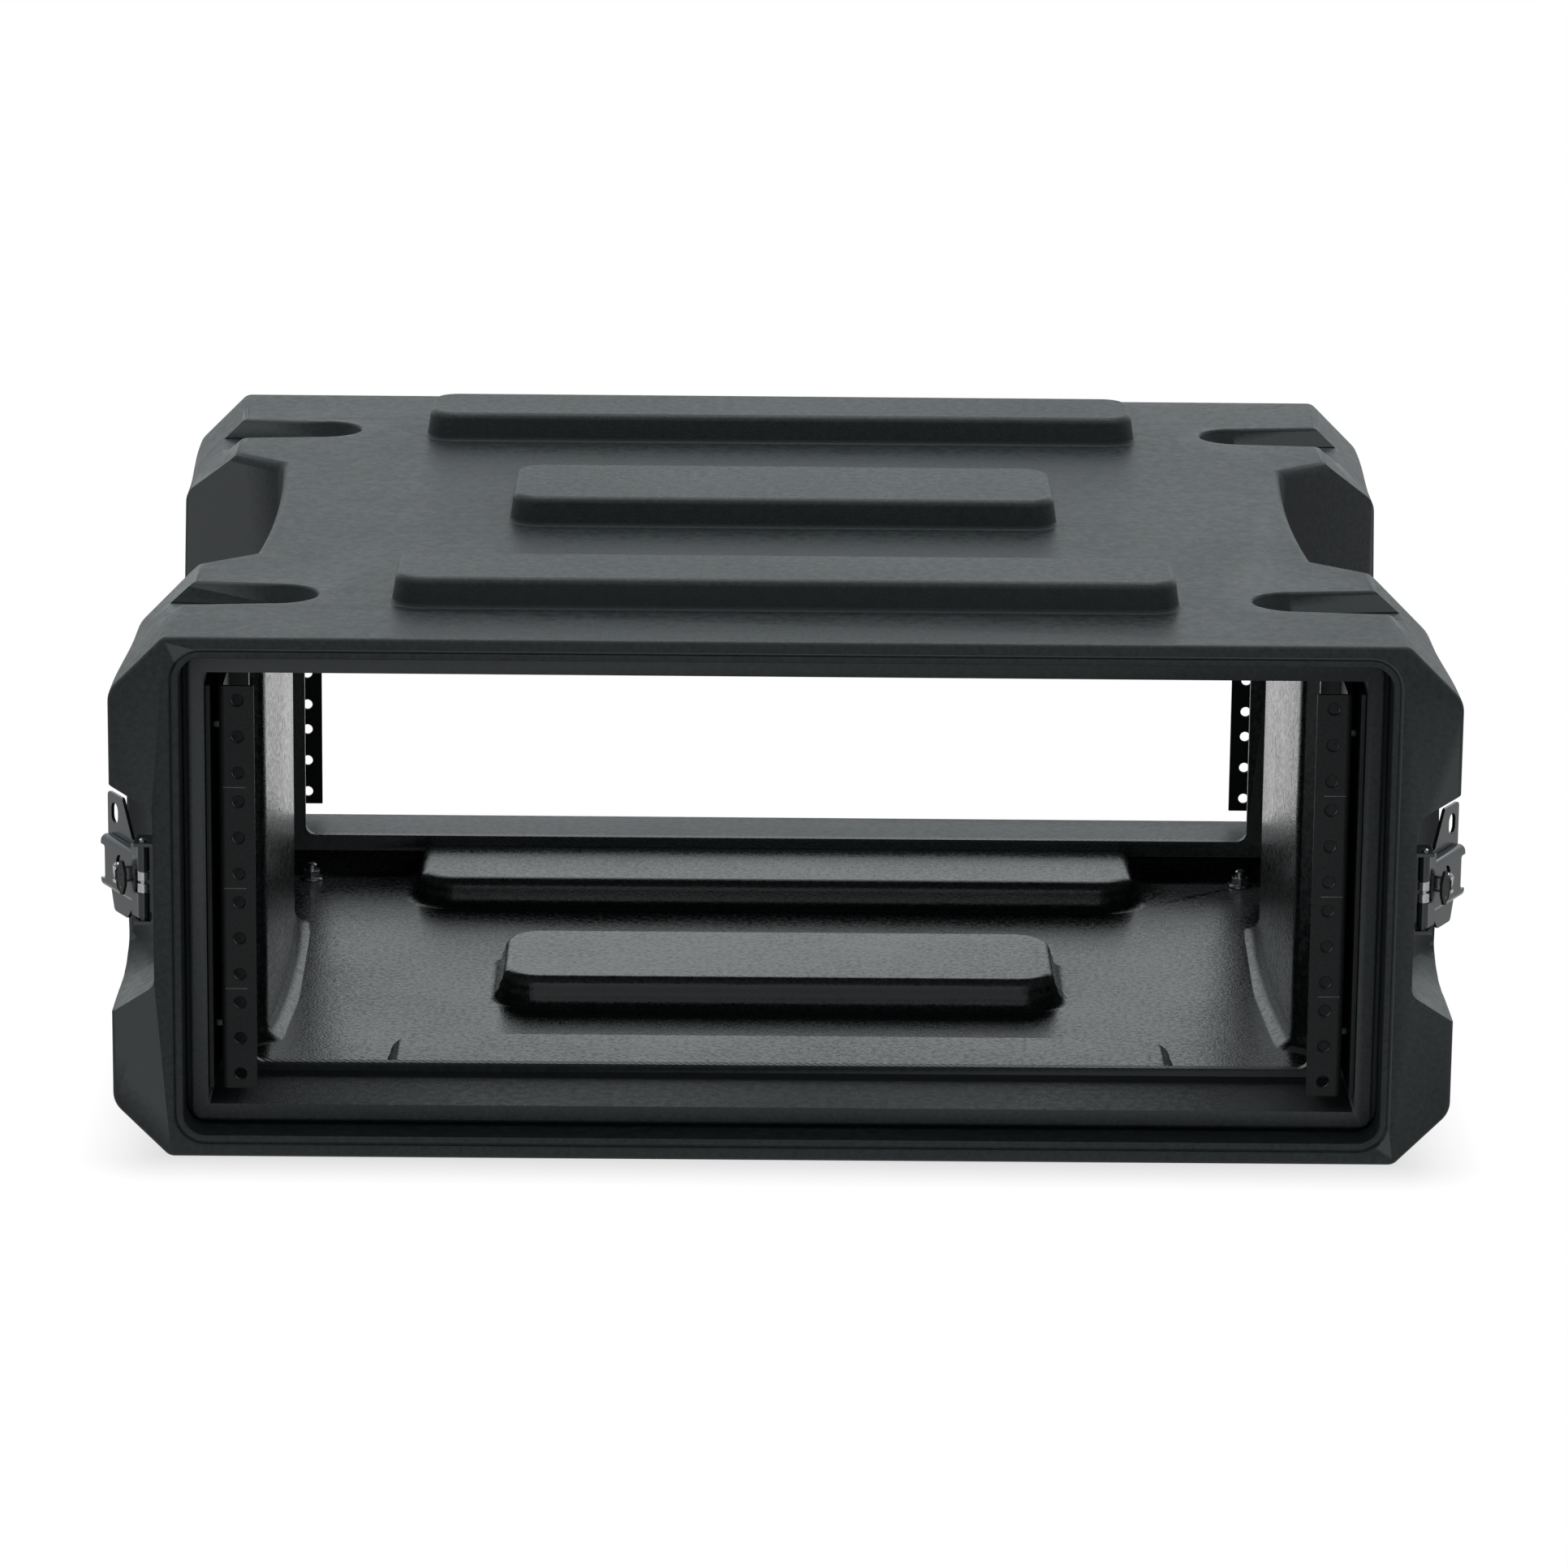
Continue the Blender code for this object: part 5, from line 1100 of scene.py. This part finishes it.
# %% Cover
def latch_cover():
    """Channel with rolled edges, a wider leaf at the hinge and two rolled knuckles."""
    flange, tip, middle = COVER_HEIGHT / 2 - STEEL / 2, COVER_FACE - COVER_DEPTH, COVER_FACE - STEEL / 2
    path = [(tip, flange), (middle, flange), (middle, -flange), (tip, -flange)]
    cover = prism("cover_blank", "y", sheet_outline(path, STEEL, 0.0022), COVER_START, COVER_LENGTH)
    joined(cover, box("leaf", (COVER_FACE - STEEL, 0.0, -KNUCKLE_END),
                      (COVER_FACE, COVER_START + 0.0012, KNUCKLE_END)))
    for low, high in ((KNUCKLE_START, KNUCKLE_END), (-KNUCKLE_END, -KNUCKLE_START)):
        joined(cover, rod("knuckle", "z", BARREL, low, high))
    window = box("leaf_window", (-BEYOND, -BEYOND, -KNUCKLE_START), (BEYOND, 0.0038, KNUCKLE_START))
    bore = rod("knuckle_bore", "z", PIN + FREE, -BRACKET_HEIGHT, BRACKET_HEIGHT)
    notch_outline = rounded_rectangle(0.0042, 0.0075, 0.0012, 4, (COVER_LENGTH, 0.0))
    notch = prism("end_notch", "x", notch_outline, tip - WALL, BEYOND)
    eye = prism("eye", "x", oval_outline(0.0041, 0.0083, 8, (HUB_ALONG, -0.0012)), tip, BEYOND)
    return machined(cut(cover, window, bore, notch, eye))


cover_mesh = latch_cover()
print("cover", len(cover_mesh.polygons), "faces")


# %% Padlock plate
def latch_hasp():
    """Flat plate behind the cover: a tall tab with the padlock hole above, a round lobe below."""
    near, height, lobe = COVER_START + 0.004, (COVER_HEIGHT - STEEL) / 2, HASP_LENGTH - 0.006
    corners = [(near, -height), (near + 0.004, -height - STEEL), (lobe - 0.014, -TAB_DROP), (lobe, -TAB_DROP),
               (HASP_LENGTH - STEEL, -height), (HASP_LENGTH, height), (HASP_LENGTH, TAB_RISE),
               (HASP_LENGTH - 0.016, TAB_RISE), (near + 0.008, height + 2 * STEEL), (near, height)]
    outline = rounded_path(corners, 0.0022, 8, closed=True)
    plate = prism("hasp_blank", "x", outline, HASP_FACE - STEEL, HASP_FACE)
    low, high = HASP_FACE - 2 * WALL, HASP_FACE + 2 * WALL
    hole = oval_outline(0.0035, 0.0046, 8, (HASP_LENGTH - 0.0075, TAB_RISE - 0.0085))
    shaft_hole = rod("shaft_hole", "x", HUB_SHAFT + 0.0004, low, high, (HUB_ALONG, 0.0))
    return machined(cut(plate, prism("padlock_hole", "x", hole, low, high), shaft_hole), 0.0003)


hasp_mesh = latch_hasp()
print("padlock plate", len(hasp_mesh.polygons), "faces")


# %% Hub and wing
def latch_hub():
    """Slotted head, shaft, a cam behind the plates and two ears for the wing."""
    head_low = COVER_FACE + FREE
    head_high, cam_face = head_low + 0.0013, HASP_FACE - STEEL - FREE
    head = rod("hub_head", "x", HUB_RADIUS, head_low, head_high, steps=40, end_radius=HUB_RADIUS - 0.0003)
    joined(head, rod("hub_shaft", "x", HUB_SHAFT, cam_face - STEEL / 2, head_high - 0.0004),
           prism("hub_cam", "x", oval_outline(0.0031, 0.0070, 8), cam_face - STEEL, cam_face))
    for low in (EAR_INNER, -EAR_INNER - WING_STEEL):
        joined(head, box("wing_ear", (head_low, WING_BACK - WING_BARREL, low),
                         (WING_OUT + WING_BARREL, -HUB_RADIUS / 2, low + WING_STEEL)))
    slot = box("hub_slot", (head_high - 0.0006, -0.0005, -HUB_RADIUS), (head_high + 0.0006, 0.0005, HUB_RADIUS))
    return machined(cut(head, slot), 0.00015)


def latch_wing():
    """Folding wing with a long slit, and the barrel that it turns on."""
    half, neck = WING_HEIGHT / 2, EAR_INNER - 0.0006
    upper = [(0.0, neck), (-0.0016, neck), (-0.0016, neck + 0.0014), (-0.45 * WING_REACH, half),
             (-0.70 * WING_REACH, half), (-WING_REACH, 0.0026)]
    outline = rounded_path(both_halves(upper), 0.0005, 4, closed=True)
    leaf = prism("wing_leaf", "x", outline, -WING_STEEL / 2, WING_STEEL / 2)
    joined(leaf, rod("wing_barrel", "z", WING_BARREL, -EAR_INNER + FREE, EAR_INNER - FREE, steps=20))
    slit = prism("wing_slit", "x", oval_outline(0.00075, 0.0048, 4, (-0.58 * WING_REACH, 0.0)), -BEYOND, BEYOND)
    for number, thing in enumerate((leaf, slit)):
        coated(thing.data, number, DULL_STEEL, BRIGHT_PLATE)
    return machined(cut(leaf, slit), 0.00015)


hub_mesh, wing_mesh = latch_hub(), latch_wing()
print("hub", len(hub_mesh.polygons), "wing", len(wing_mesh.polygons))

# %% Place the latches
at_hinge = Matrix.Translation(HINGE)
swung = at_hinge @ Matrix.Rotation(-LATCH_ANGLE, 4, "Z")
at_hub = swung @ Matrix.Translation((0.0, HUB_ALONG, 0.0))
at_wing = swung @ Matrix.Translation((WING_OUT, HUB_ALONG + WING_BACK, 0.0))
add_pieces("twist", "latch_", [
    ("bracket", bracket_mesh, "case", "steel", None, at_hinge),
    ("pin", pin_mesh, "case", "zinc", None, at_hinge),
    ("cover", cover_mesh, "latch", "steel", None, swung),
    ("hasp", hasp_mesh, "latch", "steel", None, swung),
    ("hub", hub_mesh, "hub", "steel", BRIGHT_PLATE, at_hub),
    ("wing", wing_mesh, "wing", "steel", DULL_STEEL, at_wing),
])

# %% [markdown]
# ## Side handles
# Each side has a pressed plate with two ears. A bent rod hangs between them, with a rubber grip
# moulded on it, and a torsion spring folds it back. The rod is a wire along a rounded path, and
# the grip is turned, with shallow rings for the fingers.

# %% Handle sizes
BAIL_HALF, BAIL_DROP, BAIL_RADIUS, BAIL_END = 0.052, 0.052, 0.0036, 0.015
PLATE_HALF_LENGTH, PLATE_HALF_HEIGHT, EAR_STEEL = 0.075, 0.046, 0.0022
PLATE_BACK = RECESS_INNER_X + RECESS_BOW * (PLATE_HALF_LENGTH / RECESS_HALF) ** 2 + FREE
PLATE_FACE = PLATE_BACK + 0.002
PIVOT_X, PIVOT_Z = PLATE_FACE + 0.0125, BODY_MIDDLE + 0.030
EAR_Y = BAIL_HALF + BAIL_END - EAR_STEEL - 0.0015
RIVET_OUT, RIVET_UP = 0.064, 0.035
RIVET_RINGS = ((-0.0005, 0.0042), (0.0005, 0.0041), (0.0011, 0.0033), (0.0014, 0.0022), (0.0015, 0.0008))
print("handle pivot", round(PIVOT_X, 4), round(PIVOT_Z, 4))


# %% Plate
def handle_plate():
    """Plate with four rivet heads and an ear at each end of the pivot."""
    outline = rounded_rectangle(PLATE_HALF_LENGTH, PLATE_HALF_HEIGHT, 0.012, 10, CENTRE)
    plate = prism("plate_blank", "x", outline, PLATE_BACK, PLATE_FACE)
    top, root = BAIL_RADIUS + 0.0035, PLATE_FACE - 0.001
    profile = rounded_path([(root, PIVOT_Z - 0.012), (PIVOT_X + top, PIVOT_Z - top),
                            (PIVOT_X + top, PIVOT_Z + top), (root, PIVOT_Z + 0.012)], 0.004, 8)
    for low in (EAR_Y, -EAR_Y - EAR_STEEL):
        joined(plate, prism("ear", "y", profile, low, low + EAR_STEEL))
    for along in (-RIVET_OUT, RIVET_OUT):
        for up in (-RIVET_UP, RIVET_UP):
            place = (along, BODY_MIDDLE + up)
            joined(plate, lofted("rivet", "x", [(PLATE_FACE + out, circle(radius, place))
                                                for out, radius in RIVET_RINGS]))
    reach = EAR_Y + 2 * EAR_STEEL
    cut(plate, rod("ear_drill", "y", BAIL_RADIUS + FREE, -reach, reach, (PIVOT_X, PIVOT_Z)))
    return machined(plate, 0.0003)


plate_mesh = handle_plate()
print("handle plate", len(plate_mesh.polygons), "faces")


# %% Bail, grip and spring
def handle_bail():
    """Bent rod from ear to ear, hanging from its pivot at the origin."""
    upper = [(BAIL_HALF + BAIL_END, 0.0), (BAIL_HALF, 0.0), (BAIL_HALF, -BAIL_DROP)]
    path = [(-along, up) for along, up in upper] + upper[::-1]
    route = [(0.0, p[0], p[1]) for p in rounded_path(path, 0.00675, 10)]
    return settled(wire("bail_route", route, BAIL_RADIUS, 6))


def handle_grip():
    """Rubber grip with four shallow rings, lying along Y."""
    half, radius, edge = BAIL_HALF - 0.011, 0.0100, 0.002
    outer = [(radius - out, half - away) for out, away in fillet(edge)]
    for ring in (1.5, 0.5, -0.5, -1.5):
        for step in range(-6, 7):
            share = step / 6
            sunk = 0.0010 * (0.5 + 0.5 * math.cos(math.pi * share))
            outer.append((radius - sunk, ring * half * 0.45 - 0.0022 * share))
    outer += [(radius - out, away - half) for out, away in reversed(fillet(edge))]
    bore = BAIL_RADIUS + FREE
    mesh = settled(turned("grip_blank", [(bore, half)] + outer + [(bore, -half)], 40), sharp=50.0)
    mesh.transform(Matrix.Rotation(math.radians(90), 4, "X"))
    return mesh


def handle_spring():
    """Torsion spring wound round the pivot beside the bail's leg."""
    thick, turns, steps = 0.0008, 3, 32
    radius = BAIL_RADIUS + 0.0012 + thick
    low, high = BAIL_HALF + BAIL_RADIUS + thick + FREE, EAR_Y - thick - FREE
    route = []
    for index in range(turns * steps + 1):
        angle = 2 * math.pi * index / steps
        along = low + (high - low) * index / (turns * steps)
        route.append((radius * math.cos(angle), along, radius * math.sin(angle)))
    return settled(wire("spring_route", route, thick, 3))


pivot = Matrix.Translation((PIVOT_X, 0.0, PIVOT_Z))
lower = pivot @ Matrix.Translation((0.0, 0.0, -BAIL_DROP))
add_pieces("side", "handle_", [
    ("plate", plate_mesh, "case", "steel", None, STILL),
    ("bail", handle_bail(), "handle", "steel", None, pivot),
    ("grip", handle_grip(), "handle", "rubber", None, lower),
    ("spring", handle_spring(), "case", "zinc", None, pivot),
], [(name, side, 1) for name, side in SIDES])
